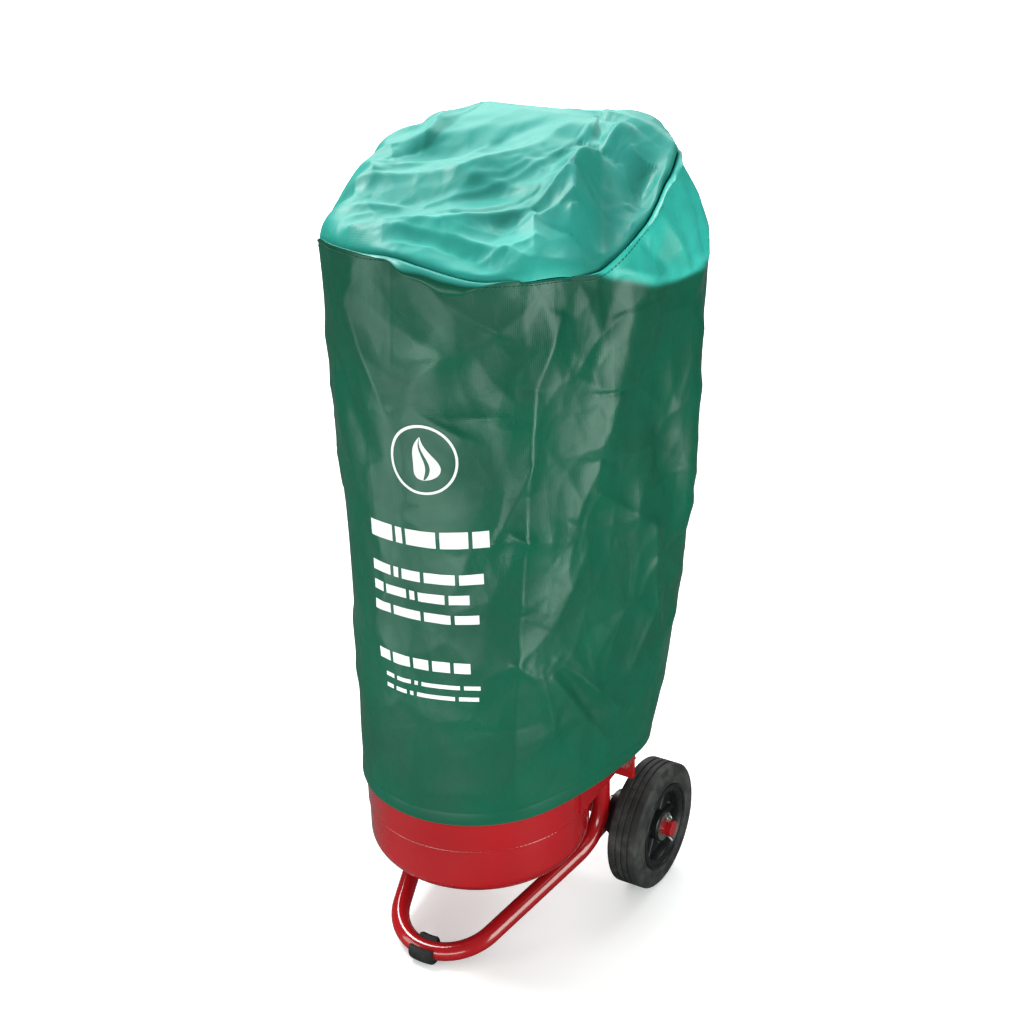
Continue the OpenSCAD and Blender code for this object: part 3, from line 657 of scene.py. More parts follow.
def spoke_mesh(name, side, centre, black, body):
    """The web with its ribs: each rib is tapered and rounded, and the windows between are dished."""
    rings, columns = 15, 288
    start, reach = HUB_OUTER_R - 0.001, RIM_BORE + 0.001 - HUB_OUTER_R + 0.001
    points = []
    for face in (1, -1):
        for i in range(rings):
            share = i / (rings - 1)
            r = start + reach * share
            for turn in round_angles(columns):
                off = abs((turn * SPOKES / (2 * math.pi) + 0.5) % 1 - 0.5) * 2 * math.pi / SPOKES * r
                rib = 1 / (1 + math.exp((off - 0.0045) / 0.0007))
                rim_blend = math.exp(-((1 - share) / 0.10) ** 2) * 0.5
                hub_blend = math.exp(-(share / 0.12) ** 2) * 0.6
                height = WEB_HALF + (RIB_HALF - WEB_HALF) * max(rib, rim_blend, hub_blend)
                across = side * face * height
                points.append(Vector((
                    centre.x + across, centre.y + r * math.cos(turn), centre.z + r * math.sin(turn)
                )))
    block = rings * columns
    faces = grid_faces(rings, columns)
    faces += [tuple(block + k for k in reversed(f)) for f in grid_faces(rings, columns)]
    for row in (0, rings - 1):
        for j in range(columns):
            a, b = row * columns + j, row * columns + (j + 1) % columns
            faces.append((a, b, block + b, block + a))
    tidy_mesh(add_mesh(name, points, faces, black, body))


def make_wheel(side_name, side, tyre_black, rim_black):
    """Tyre, hoop, ribbed web and hub barrel of one wheel."""
    body = f"wheel_{side_name}"
    centre = middle(f"tyre_{side_name}")
    spin = (centre, Vector((side, 0, 0)))
    tyre = lathe(f"tyre_{side_name}_moulded", tyre_profile(), spin, tyre_black, body, 192)
    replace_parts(tyre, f"tyre_{side_name}")
    hoop = lathe(f"rim_hoop_{side_name}", rim_profile(), spin, rim_black, body, 168)
    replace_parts(hoop, f"rim_{side_name}")
    spoke_mesh(f"rim_web_{side_name}", side, centre, rim_black, body)
    barrel = [
        (HUB_BORE, HUB_NEAR), (HUB_INNER_R - 0.001, HUB_NEAR), (HUB_INNER_R, HUB_NEAR + 0.001),
        (HUB_INNER_R, HUB_STEP), (HUB_OUTER_R, HUB_STEP + 0.0005), (HUB_OUTER_R, HUB_FAR - 0.001),
        (HUB_OUTER_R - 0.001, HUB_FAR), (HUB_BORE, HUB_FAR),
    ]
    lathe(f"rim_barrel_{side_name}", barrel, spin, rim_black, body, 96)


# ---------- welds and trim on the frame ----------

WELD_STEP, WELD_RIPPLE = 0.0007, 0.0021
STRAP_BEAD_R, BRACKET_BEAD_R = 0.0017, 0.0014


def weld_up(name, x, y, low, high, paint, bead_r):
    """A rippled upright weld fillet between two heights."""
    sides, end_gap = 8, 0.002
    start, stop = Vector((x, y, low + end_gap)), Vector((x, y, high - end_gap))
    steps = max(2, int((stop - start).length / WELD_STEP))
    dense = [start.lerp(stop, k / steps) for k in range(steps)] + [stop]
    rings, travelled = [], 0.0
    for i, point in enumerate(dense):
        ahead = dense[min(i + 1, len(dense) - 1)] - dense[max(i - 1, 0)]
        travelled += (point - dense[max(i - 1, 0)]).length
        along = ahead.normalized()
        across = along.orthogonal().normalized()
        other = along.cross(across)
        end = min(i, len(dense) - 1 - i)
        r = bead_r * (1 + 0.18 * math.sin(travelled / WELD_RIPPLE * 2 * math.pi)) * min(1, 0.25 + end / 4)
        rings += [point + (across * math.cos(t) + other * math.sin(t)) * r for t in round_angles(sides)]
    faces = grid_faces(len(dense), sides)
    last = (len(dense) - 1) * sides
    faces += [tuple(range(sides)), tuple(last + j for j in range(sides))]
    tidy_mesh(add_mesh(name, rings, faces, paint, ROOT), 0)


def make_welds(paint):
    """Fillets where the straps and the axle brackets meet the uprights."""
    for side_name, side in (("left", -1), ("right", 1)):
        upright = middle(f"upright_{side_name}")
        for level in ("lower", "upper"):
            low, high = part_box(f"{level}_saddle_{side_name}")
            x = upright.x + side * TUBE_R * 0.92
            y = upright.y - TUBE_R * 0.30
            weld_up(f"weld_{level}_{side_name}", x, y, low.z, high.z, paint, STRAP_BEAD_R)
        low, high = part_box(f"axle_bracket_{side_name}")
        edge = low.x if side > 0 else high.x
        weld_up(f"weld_bracket_{side_name}", edge + side * 0.006, upright.y + TUBE_R + 0.0004,
                low.z, high.z, paint, BRACKET_BEAD_R)


ARC_R, TICK_R = (0.0125, 0.0155), (0.0108, 0.0122)
# The dial's arcs and their ends, in degrees from the right.
DIAL_ARCS = {"low": (150, 205), "working": (60, 120), "high": (-25, 30)}


def make_gauge_marks(green, red, black):
    """Arcs and ticks on the gauge's dial, on the needle's side."""
    centre = middle("gauge_dial")
    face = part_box("gauge_dial")[0].y - 0.00015

    def sector(name, radii, start, end, material):
        r0, r1 = radii
        outline = arc((0, 0), r1, start, end, 24) + arc((0, 0), r0, end, start, 24)
        front = [(centre.x + x, face, centre.z + z) for x, z in outline]
        rear = [(x, face + 0.0001, z) for x, _, z in front]
        count = len(outline)
        faces = [tuple(range(count)), tuple(range(2 * count - 1, count - 1, -1))]
        faces += [(j, (j + 1) % count, count + (j + 1) % count, count + j) for j in range(count)]
        tidy_mesh(add_mesh(name, front + rear, faces, material, ROOT, smooth=False), 0)

    for kind, ends in DIAL_ARCS.items():
        sector(f"dial_{kind}_arc", ARC_R, *ends, green if kind == "working" else red)
    for k, a in enumerate(range(-20, 201, 20)):
        sector(f"dial_tick_{k}", TICK_R, a - 1.2, a + 1.2, black)


# ---------- dust cover ----------

# Each row is one level section of the cover: height, front radius, front centre, half width, back depth,
# back centre. Distances back are from the vessel's axis.
COVER_ROWS = (
    (0.208, 0.1370, 0.000, 0.160, 0.098, 0.122),
    (0.260, 0.1365, 0.000, 0.168, 0.101, 0.132),
    (0.330, 0.1365, 0.000, 0.177, 0.105, 0.143),
    (0.420, 0.1365, 0.000, 0.185, 0.110, 0.154),
    (0.520, 0.1370, 0.000, 0.190, 0.113, 0.162),
    (0.600, 0.1410, 0.003, 0.192, 0.115, 0.168),
    (0.680, 0.1460, 0.007, 0.192, 0.115, 0.168),
    (0.755, 0.1500, 0.010, 0.192, 0.115, 0.167),
    (0.808, 0.1520, 0.012, 0.189, 0.113, 0.162),
    (0.848, 0.1520, 0.012, 0.180, 0.108, 0.150),
)
COVER_CENTRE = 0.060
COVER_POWER = 16
HEM_Z = COVER_ROWS[0][0]
SEAM_Z = COVER_ROWS[-1][0]
SEAM_RISE = 0.064
COVER_FRONT, HANDLE_BACK = -0.140, 0.180
# Where the top cloth lies on the handle's bar, half the length that it touches, and how near its last ring
# comes to it as a share of the way.
TENT_Z, TENT_HALF, LAST_RING = 0.952, 0.070, 0.965
CLOTH_T = 0.0011
SIDE_COLUMNS, SIDE_ROWS, TOP_ROWS = 460, 250, 120

# Share of the seam's slope that each row takes up, by height.
SLOPE_HEIGHTS = (0.208, 0.420, 0.520, 0.600, 0.680, 0.755, 0.808, 0.848)
SLOPE_SHARES = (0, 0, 0.05, 0.12, 0.25, 0.45, 0.70, 1)

# How far the sewn seam sits above or below that slope, by distance round the cover from its front.
SEAM_ROUND = (
    -0.60, -0.42, -0.35, -0.29, -0.23, -0.18, -0.14, -0.11, -0.08, -0.05, -0.02,
    0.01, 0.04, 0.07, 0.10, 0.13, 0.18, 0.25, 0.28, 0.31, 0.34, 0.38, 0.60,
)
SEAM_SHIFT = (
    0, -0.022, -0.030, -0.034, -0.029, -0.022, -0.008, 0.008, 0.015, 0.0195, 0.021,
    0.022, 0.015, 0.0035, -0.008, -0.014, -0.026, -0.044, -0.034, -0.025, -0.012, 0, 0,
)

# Folds of the side cloth, in millimetres: distance round from the front and height of the start, the same
# of the end, half width of the fold, how far it stands out, and whether its ridge is sharp.
SIDE_FOLDS = (
    # the long crease down the right of the front
    (189, 815, 155, 732, 16, 3.4, True), (155, 732, 142, 610, 14, 4, True),
    (142, 610, 130, 470, 14, 3.4, True), (130, 470, 120, 330, 18, 3, True),
    (120, 330, 117, 215, 20, 2.4, True),
    # the broad panel to the right of it and its far edge
    (290, 790, 262, 700, 30, 6, False), (262, 700, 240, 620, 26, 5.2, False),
    (240, 620, 200, 560, 20, 3.6, True), (229, 535, 168, 440, 22, 2.8, True),
    # hollow between the long crease and the left of the front
    (110, 800, 60, 690, 34, -6, False), (95, 700, 100, 560, 30, -4, False),
    # small creases that run into the long one
    (150, 648, 103, 556, 8, 1.8, True), (122, 568, 147, 552, 6, 2, True),
    (117, 416, 146, 388, 6, 1.8, True),
    # fan of pulls at the lower right
    (172, 404, 281, 290, 9, 3.4, True), (164, 386, 262, 246, 10, 3.4, True),
    (153, 392, 172, 296, 10, 2.2, True), (180, 400, 235, 290, 12, -2.6, False),
    # right side
    (224, 592, 336, 504, 12, 2.6, True), (324, 520, 340, 372, 10, 2.8, True),
    (336, 416, 290, 340, 12, 2.4, True), (330, 700, 350, 560, 24, -5, False),
    (400, 720, 390, 480, 20, 5, False),
    # left of the front and the left side
    (13, 850, 6, 740, 8, 0.8, True), (-60, 810, -5, 700, 16, 3, True),
    (-90, 740, -30, 640, 18, -3, False), (-120, 560, -140, 420, 26, -3, False),
    (-200, 800, -160, 560, 22, 5, True), (-260, 560, -180, 400, 20, 2.2, True),
    (-230, 430, -160, 260, 16, 1.8, True), (-340, 780, -300, 500, 26, 6, False),
    (-330, 480, -250, 300, 14, 3.4, True),
    # the back
    (-520, 820, -470, 540, 24, 5, True), (-420, 700, -450, 400, 22, -5, False),
    (-560, 520, -480, 300, 16, 4, True), (500, 830, 540, 560, 24, 5, True),
    (460, 640, 500, 380, 20, -4.6, False), (560, 500, 500, 260, 16, 4, True),
    (600, 780, 610, 420, 20, 5, False),
)

# Folds of the shoulder between the seam and the fold under it, which is painted lighter as though lit from
# above, like SIDE_FOLDS.
SHOULDER_FOLDS = (
    (300, 842, 335, 798, 8, -3.4, True), (335, 846, 372, 772, 9, 4.6, True),
    (262, 840, 330, 796, 7, 3.4, True), (400, 845, 405, 760, 12, -4, True),
    (372, 790, 420, 770, 7, 3, True),
)

# Folds of the top cloth, in plan from the vessel's axis (right, back), with the same last three values.
TOP_FOLDS = (
    # long pulls from the front left to the right end of the handle's bar
    (-110, -45, -5, 13, 11, 5, True), (-5, 13, 41, 95, 11, 5.8, True), (41, 95, 57, 172, 12, 4, True),
    (-60, -125, 28, -77, 13, 6.4, True), (28, -77, 88, 5, 14, 8.5, True), (88, 5, 111, 93, 14, 7, True),
    (-130, 10, -30, 120, 12, 4, True),
    # the lip above the front seam
    (-20, -115, 46, -85, 8, 4, True), (46, -85, 100, -64, 9, 5.8, True),
    (100, -64, 126, -64, 8, 4, True),
    # folds that fall to the front right corner
    (92, 1, 129, -59, 9, 5, True), (92, 1, 126, 27, 10, -4.5, True), (126, 27, 158, 15, 8, 4, True),
    (102, -3, 121, 37, 6, 3, True),
    # the ridge over the right end of the bar
    (110, 165, 106, 118, 24, 13, True), (106, 118, 108, 60, 24, 16, True),
    (108, 60, 135, 0, 18, 11, True),
    # hollows between them
    (152, 140, 160, 90, 15, -9, False), (-50, -80, 60, 30, 20, -8, False),
    (-90, 20, 10, 100, 24, -7, False), (70, -45, 104, 30, 15, -6, False),
    (70, 60, 90, 140, 18, -7, False), (10, -110, 90, -80, 12, -4, False),
    # small crumples in the middle
    (-41, 23, 8, 7, 6, 2.4, True), (8, 7, 36, 37, 6, 2.4, True), (26, 19, 80, 36, 6, 2.6, True),
    (36, 37, 49, 65, 5, 2.2, True), (128, 121, 158, 96, 6, 2.6, True),
    (150, 130, 128, 140, 6, 2.4, True),
    # thin pulls between the long ones
    (-120, -20, -40, 30, 4.5, 2.2, True), (-40, 30, 0, 120, 4.5, 2.4, True),
    (-95, -85, -10, -45, 4.5, 2.4, True), (-10, -45, 50, 40, 4.5, 2.6, True),
    (50, 40, 80, 130, 4.5, 2.2, True), (-140, 50, -80, 110, 5, 2.4, True),
    (-100, 0, -60, 80, 4.5, -2, True), (-30, -90, 50, -40, 4.5, -2.2, True),
    (50, -40, 90, 40, 4.5, -2, True), (-20, 80, 30, 160, 5, -2.2, True),
    (0, -130, 60, -100, 4.5, 2, True), (80, -90, 118, -30, 5, 2.4, True),
    # dents along the left edge
    (-150, 124, -112, 98, 11, -12, False), (-160, 58, -130, 26, 11, -10, False),
    (-118, -62, -94, -50, 8, -6, False), (-92, 124, -74, 52, 10, 5, True),
    (-85, -24, -120, 10, 10, 5, True),
    # the back slope, behind the bar
    (-80, 190, -110, 250, 12, 5, True), (20, 192, 40, 262, 12, 5, True),
    (90, 190, 130, 232, 12, 5, True),
)


def smooth_step(x, low, high):
    t = np.clip((x - low) / (high - low), 0, 1)
    return t * t * (3 - 2 * t)


def smooth_curve(x, knots, values):
    """Cubic curve through the values at the knots, flat beyond them."""
    knots, values = np.asarray(knots, float), np.asarray(values, float)
    slopes = np.gradient(values, knots)
    x = np.clip(x, knots[0], knots[-1])
    i = np.clip(np.searchsorted(knots, x) - 1, 0, len(knots) - 2)
    gap = knots[i + 1] - knots[i]
    t = (x - knots[i]) / gap
    return (
        values[i] * (1 + 2 * t) * (1 - t) ** 2 + slopes[i] * gap * t * (1 - t) ** 2
        + values[i + 1] * t * t * (3 - 2 * t) + slopes[i + 1] * gap * t * t * (t - 1)
    )


def ripple(x, y, seed, waves=9, longest=0.30, shortest=0.07):
    """Gentle unevenness from a few crossing waves, within about -1 to 1."""
    random = np.random.default_rng(seed)
    total = np.zeros_like(x)
    for length in np.geomspace(longest, shortest, waves):
        heading, phase = random.uniform(0, 2 * math.pi, 2)
        total += np.sin(2 * math.pi * (x * math.cos(heading) + y * math.sin(heading)) / length + phase)
    return total / waves ** 0.5 / 1.4


# How round a sharp ridge still is, and what share of a fold's height is left at its ends.
RIDGE_SOFT, FOLD_END = 0.0012, 0.35


def fold_height(x, y, folds):
    """Sum of the folds' heights at points (x, y) of the flat cloth."""
    soft = RIDGE_SOFT
    total = np.zeros_like(x)
    for *sizes, sharp in folds:
        x0, y0, x1, y1, half_width, height = (size / 1000 for size in sizes)
        dx, dy = x1 - x0, y1 - y0
        along = ((x - x0) * dx + (y - y0) * dy) / math.hypot(dx, dy) ** 2
        inside = np.clip(along, 0, 1)
        away = np.hypot(x - x0 - inside * dx, y - y0 - inside * dy)
        if sharp:
            profile = np.exp(-(np.sqrt(away ** 2 + soft ** 2) - soft) / half_width)
        else:
            profile = np.exp(-((away / half_width) ** 2))
        fullness = np.sqrt(np.clip(4 * inside * (1 - inside), 0, 1))
        total += height * profile * (FOLD_END + (1 - FOLD_END) * fullness)
    return total


# Crumple's cells repeat after this many.
CELLS = 64


def crumple(x, y, seed, cell, slope, stretch, heading):
    """Shallow hollows between sharp crossing ridges, drawn out along heading, around a mean of zero."""
    warp = 0.12 * cell * ripple(x, y, seed, 5, cell * 4, cell)
    u = (x * math.cos(heading) + y * math.sin(heading)) / stretch / cell + warp / cell
    v = (y * math.cos(heading) - x * math.sin(heading)) / cell - warp / cell
    column, row = np.floor(u).astype(int), np.floor(v).astype(int)
    random = np.random.default_rng(seed).uniform(0.05, 0.95, (CELLS, CELLS, 2))
    near = []
    for i in range(-2, 3):
        for j in range(-2, 3):
            jitter = random[(column + i) % CELLS, (row + j) % CELLS]
            near.append((column + i + jitter[..., 0], row + j + jitter[..., 1]))
    away = np.stack([(u - a) ** 2 + (v - b) ** 2 for a, b in near])
    first = np.argmin(away, axis=0)
    a0, b0 = (np.take_along_axis(np.stack([p[k] for p in near]), first[None], 0)[0] for k in (0, 1))
    nearest = away.min(axis=0)
    edge = np.full(x.shape, 9.0)
    for (a, b), far in zip(near, away):
        gap = np.hypot(a - a0, b - b0)
        edge = np.where(gap > 1e-9, np.minimum(edge, (far - nearest) / (2 * np.maximum(gap, 1e-9))), edge)
    return slope * cell * (0.12 - 0.30 * np.tanh(edge / 0.30))


def crumples(x, y, layers):
    """Sum of several layers of crumple."""
    return sum(crumple(x, y * tall, *facts) for *facts, tall in layers)


def support(turn, row):
    """Distance from the section's centre to its tangent line that faces turn, in radians."""
    front_r, front_y, half_w, back_d, back_y = row
    front = front_r + (front_y - COVER_CENTRE) * np.sin(turn)
    back = np.hypot(half_w * np.cos(turn), back_d * np.sin(turn)) + (back_y - COVER_CENTRE) * np.sin(turn)
    front, back = np.maximum(front, 0.001), np.maximum(back, 0.001)
    return (front ** COVER_POWER + back ** COVER_POWER) ** (1 / COVER_POWER)


SECTION_SAMPLES = 2881


def section(height):
    """One level section of the cover, evenly spaced round it from the middle of its back.

    Returns points (x, back), outward directions, and distance round from the front.
    """
    heights = [row[0] for row in COVER_ROWS]
    row = [smooth_curve(height, heights, [r[k] for r in COVER_ROWS]) for k in range(1, 6)]
    turn = np.linspace(-1.5 * math.pi, 0.5 * math.pi, SECTION_SAMPLES)
    step = 1e-4
    reach = support(turn, row)
    slope = (support(turn + step, row) - support(turn - step, row)) / (2 * step)
    x = reach * np.cos(turn) - slope * np.sin(turn)
    y = COVER_CENTRE + reach * np.sin(turn) + slope * np.cos(turn)
    travelled = np.concatenate(([0], np.cumsum(np.hypot(np.diff(x), np.diff(y)))))
    wanted = np.arange(SIDE_COLUMNS) / SIDE_COLUMNS * travelled[-1]
    even_turn = np.interp(wanted, travelled, turn)
    points = np.stack([np.interp(wanted, travelled, x), np.interp(wanted, travelled, y)], axis=1)
    outward = np.stack([np.cos(even_turn), np.sin(even_turn)], axis=1)
    return points, outward, wanted - travelled[-1] / 2


def slope_lift(height, back):
    """How far the seam's slope raises a point of the side cloth."""
    share = smooth_curve(height, SLOPE_HEIGHTS, SLOPE_SHARES)
    return share * SEAM_RISE * np.clip((back - COVER_FRONT) / (HANDLE_BACK - COVER_FRONT), 0, 1)


def side_surface():
    """Grid of the side cloth's points, hem first, with their outward directions and cloth coordinates."""
    heights = HEM_Z + (SEAM_Z - HEM_Z) * np.linspace(0, 1, SIDE_ROWS)
    grid = np.zeros((SIDE_ROWS, SIDE_COLUMNS, 3))
    outward = np.zeros_like(grid)
    flat = np.zeros((SIDE_ROWS, SIDE_COLUMNS, 2))
    for i, height in enumerate(heights):
        points, facing, around = section(height)
        shift = smooth_curve(around, SEAM_ROUND, SEAM_SHIFT) * smooth_step(height, 0.62, SEAM_Z)
        grid[i, :, 0] = points[:, 0]
        grid[i, :, 1] = points[:, 1]
        grid[i, :, 2] = height + slope_lift(height, points[:, 1]) + shift
        outward[i, :, :2] = facing
        flat[i] = np.stack([around, np.full(SIDE_COLUMNS, height)], axis=1)
    return grid, outward, flat


# The fold that runs back from the front right corner, below the seam: distance round, height.
SHOULDER_ROUND = (0.10, 0.235, 0.36, 0.42, 0.50, 0.60)
SHOULDER_LINE = (0.931, 0.850, 0.775, 0.768, 0.800, 0.875)


def shoulder_rise(around, height):
    """Height above the fold under the shoulder."""
    return height - smooth_curve(around, SHOULDER_ROUND, SHOULDER_LINE)


# Layers of crumple: seed, cell, slope, stretch, heading, scale of y.
SIDE_CRUMPLES = ((51, 0.085, 0.13, 1.0, 0.25, 1.0), (52, 0.040, 0.09, 1.0, 0.1, 0.55))
TOP_CRUMPLES = ((41, 0.062, 0.20, 2.3, 0.92, 1.0), (42, 0.027, 0.13, 1.6, 0.92, 1.0))
SIDE_FOLD_GAIN, SHOULDER_FOLD_GAIN, TOP_FOLD_GAIN = 1.7, 1.6, 1.45
SIDE_RIPPLE, TOP_RIPPLE = 0.0026, 0.0015
SHOULDER_BULGE = 0.010
# How far the side cloth can go in: where it lies on the front of the vessel, and more elsewhere.
ROOM_ON_VESSEL, ROOM_FREE = 0.0016, 0.020


def side_relief(around, height):
    """How far the side cloth stands out from its plain shape."""
    # it is tight above the hem and over the front, and plain at the hem and at its closing seam
    slack = smooth_step(height, 0.215, 0.40)
    slack = slack * (0.35 + 0.65 * smooth_step(np.abs(around - 0.03), 0.05, 0.28))
    relief = SIDE_FOLD_GAIN * fold_height(around, height, SIDE_FOLDS) * smooth_step(height, 0.205, 0.24)
    relief += SIDE_RIPPLE * ripple(around, height * 0.45, 11) * slack
    join = smooth_step(np.abs(around), 0.44, 0.54)
    creases = crumples(around, height, SIDE_CRUMPLES)
    relief += creases * (0.25 + 0.75 * slack) * (1 - join) * smooth_step(height, 0.205, 0.27)
    # the shoulder swells along the fold under it and goes in below the seam
    on_shoulder = smooth_step(around, 0.24, 0.31) * (1 - smooth_step(around, 0.42, 0.50))
    rise = shoulder_rise(around, height)
    bulge = np.where(rise > 0, np.exp(-(rise / 0.065) ** 2), np.exp(rise / 0.060))
    relief += on_shoulder * SHOULDER_BULGE * (bulge - smooth_step(rise, 0.040, 0.09))
    folds = SHOULDER_FOLD_GAIN * fold_height(around, height, SHOULDER_FOLDS)
    relief += folds * smooth_step(rise, -0.004, 0.006)
    off_vessel = np.maximum(smooth_step(height, 0.60, 0.72), smooth_step(np.abs(around), 0.17, 0.24))
    room = ROOM_ON_VESSEL + ROOM_FREE * off_vessel
    return np.where(relief < 0, -room * np.tanh(-relief / room), relief)


FLANGE_ROWS, FLANGE_LENGTH = 6, 0.0075
PLAIN_RECESS, SLIT_RECESS = 0.0012, 0.0080
# The seam by distance round from the front: how far its sewn edge folds over outward in degrees, how much
# of the edge shows as a share of FLANGE_LENGTH, how deep the top cloth sits inside it, and the top's slack.
EDGE = (
    (-0.60, 60, 0.15, 0.0012, 0.003),
    (-0.48, 60, 0.15, 0.0012, 0.003),
    (-0.41, 60, 0.15, 0.0012, 0.004),
    (-0.36, 60, 0.15, 0.0012, 0.016),
    (-0.30, 60, 0.15, 0.0012, 0.036),
    (-0.22, 60, 0.15, 0.0012, 0.046),
    (-0.14, 60, 0.15, 0.0012, 0.034),
    (-0.08, 60, 0.20, 0.0012, 0.018),
    (-0.02, 80, 0.30, 0.0020, 0.010),
    (0.01, 115, 1.00, 0.0050, 0.010),
    (0.035, 138, 2.00, 0.0080, 0.010),
    (0.055, 148, 2.40, 0.0090, 0.010),
    (0.075, 144, 2.10, 0.0085, 0.010),
    (0.10, 115, 1.10, 0.0050, 0.010),
    (0.13, 70, 0.20, 0.0012, 0.010),
    (0.22, 60, 0.20, 0.0012, 0.010),
    (0.26, 50, 0.90, 0.0070, 0.010),
    (0.31, 60, 1.20, 0.0090, 0.012),
    (0.37, 60, 1.20, 0.0080, 0.014),
    (0.42, 50, 0.50, 0.0030, 0.014),
    (0.48, 60, 0.15, 0.0012, 0.012),
    (0.60, 60, 0.15, 0.0012, 0.006),
)


def edge_curve(around, column):
    """One value of EDGE as a curve round the cover."""
    return smooth_curve(around, [row[0] for row in EDGE], [row[column] for row in EDGE])


def cover_grids():
    """Final points of the side cloth, its sewn edge and the top cloth, and the side's cloth coordinates."""
    grid, outward, flat = side_surface()
    grid = grid + outward * side_relief(flat[..., 0], flat[..., 1])[..., None]
    seam, facing, around = grid[-1], outward[-1], flat[-1, :, 0]
    lean = np.radians(edge_curve(around, 1) + 18 * ripple(around, around * 0, 21, longest=0.10))
    shown = edge_curve(around, 2) * (1 + 0.25 * ripple(around, around * 0, 22, longest=0.05, shortest=0.02))
    edge_rows = []
    for k in range(1, FLANGE_ROWS + 1):
        reach = shown * FLANGE_LENGTH * k / FLANGE_ROWS
        curl = lean * (0.5 + 0.5 * k / FLANGE_ROWS)
        row = seam + facing * (reach * np.sin(curl))[:, None]
        row[:, 2] += reach * np.cos(curl)
        edge_rows.append(row)
    side = np.concatenate([grid, np.stack(edge_rows)])
    edge_flat = np.stack([
        np.stack([around, np.full(SIDE_COLUMNS, SEAM_Z + FLANGE_LENGTH * k / FLANGE_ROWS)], axis=1)
        for k in range(1, FLANGE_ROWS + 1)
    ])
    return side, np.concatenate([flat, edge_flat]), top_grid(seam, facing, around)


def top_grid(seam, facing, around):
    """Rings of the top cloth from just inside the seam to just round the handle's bar."""
    recess = edge_curve(around, 3)
    start = seam - facing * recess[:, None]
    start[:, 2] -= 1.2 * recess
    ridge = np.stack([
        np.clip(start[:, 0], -TENT_HALF, TENT_HALF),
        np.full(len(start), HANDLE_BACK),
        np.full(len(start), TENT_Z),
    ], axis=1)
    slack = edge_curve(around, 4)
    slit = np.clip((recess - PLAIN_RECESS) / (SLIT_RECESS - PLAIN_RECESS), 0, 1)
    rings = []
    for share in LAST_RING * np.linspace(0, 1, TOP_ROWS) ** 1.5:
        ring = start + share * (ridge - start)
        puff = (0.0075 + 0.009 * slit) * (1 - math.exp(-share / 0.010)) * math.exp(-share / 0.10)
        overhang = 0.013 * slit * (1 - math.exp(-share / 0.007)) * math.exp(-share / 0.05)
        ring += facing * overhang[:, None]
        ring[:, 2] += slack * math.sin(math.pi * share ** 0.6) + puff
        free = smooth_step(share, 0.0, 0.05) * (1 - smooth_step(share, 0.86, 0.97))
        x, y = ring[:, 0], ring[:, 1]
        folds = TOP_FOLD_GAIN * fold_height(x, y, TOP_FOLDS) + TOP_RIPPLE * ripple(x, y, 31, 5, 0.22, 0.08)
        ring[:, 2] += free * (folds + crumples(x, y, TOP_CRUMPLES))
        rings.append(ring)
    return np.stack(rings)


def in_frame(grid):
    """Shifts points measured back from the vessel's axis into the shared frame."""
    return grid + np.array([0, AXIS_Y, 0])


def set_cloth_coordinates(piece, coordinates, closed):
    """UVs in metres of cloth, one per corner, with no jump inside a face at a closing seam."""
    layer = piece.data.uv_layers.new(name="cloth")
    corners = np.zeros(len(piece.data.loops), int)
    piece.data.loops.foreach_get("vertex_index", corners)
    uv = coordinates.reshape(-1, 2)[corners]
    if closed:
        column = corners % SIDE_COLUMNS
        owner = np.repeat(np.arange(len(piece.data.polygons)), [p.loop_total for p in piece.data.polygons])
        last_in_face = np.zeros(len(piece.data.polygons), bool)
        np.logical_or.at(last_in_face, owner, column == SIDE_COLUMNS - 1)
        uv[(column == 0) & last_in_face[owner], 0] += coordinates[0, -1, 0] - coordinates[0, 0, 0]
    layer.data.foreach_set("uv", uv.astype(np.float32).ravel())


def set_painted_light(piece, amount):
    """Marks how much light is painted on the cloth at each point, as its pale attribute for its material."""
    layer = piece.data.attributes.new("pale", "FLOAT", "POINT")
    layer.data.foreach_set("value", amount.astype(np.float32).ravel())


def thicken(piece):
    """Gives a sheet its cloth's thickness, on the inner side."""
    solid = piece.modifiers.new("cloth_thickness", "SOLIDIFY")
    solid.thickness = CLOTH_T
    solid.offset = -1


class ClothMap:
    """Finds points on the side cloth from distance round and height, a little proud of it."""

    def __init__(self, grid, flat):
        self.grid, self.flat = in_frame(grid[:SIDE_ROWS]), flat[:SIDE_ROWS]
        along = np.roll(self.grid, -1, axis=1) - np.roll(self.grid, 1, axis=1)
        rise = np.gradient(self.grid, axis=0)
        normal = np.cross(along, rise)
        self.normal = normal / np.linalg.norm(normal, axis=2, keepdims=True)

    def at(self, around, height, proud):
        around, height = np.asarray(around, float), np.asarray(height, float)
        row = np.clip((height - HEM_Z) / (SEAM_Z - HEM_Z) * (SIDE_ROWS - 1), 0, SIDE_ROWS - 1.001)
        i = row.astype(int)
        f = row - i
        result = 0
        for k, weight in ((i, 1 - f), (i + 1, f)):
            span = self.flat[k, -1, 0] - self.flat[k, 0, 0]
            column = (around - self.flat[k, 0, 0]) / span * (SIDE_COLUMNS - 1)
            j = np.floor(column).astype(int)
            g = column - j
            left, right = j % SIDE_COLUMNS, (j + 1) % SIDE_COLUMNS
            for side, share in ((left, 1 - g), (right, g)):
                point = self.grid[k, side] + self.normal[k, side] * proud
                result = result + point * (weight * share)[..., None]
        return result


STITCH, STITCH_GAP, STITCH_HALF = 0.0032, 0.0014, 0.00045


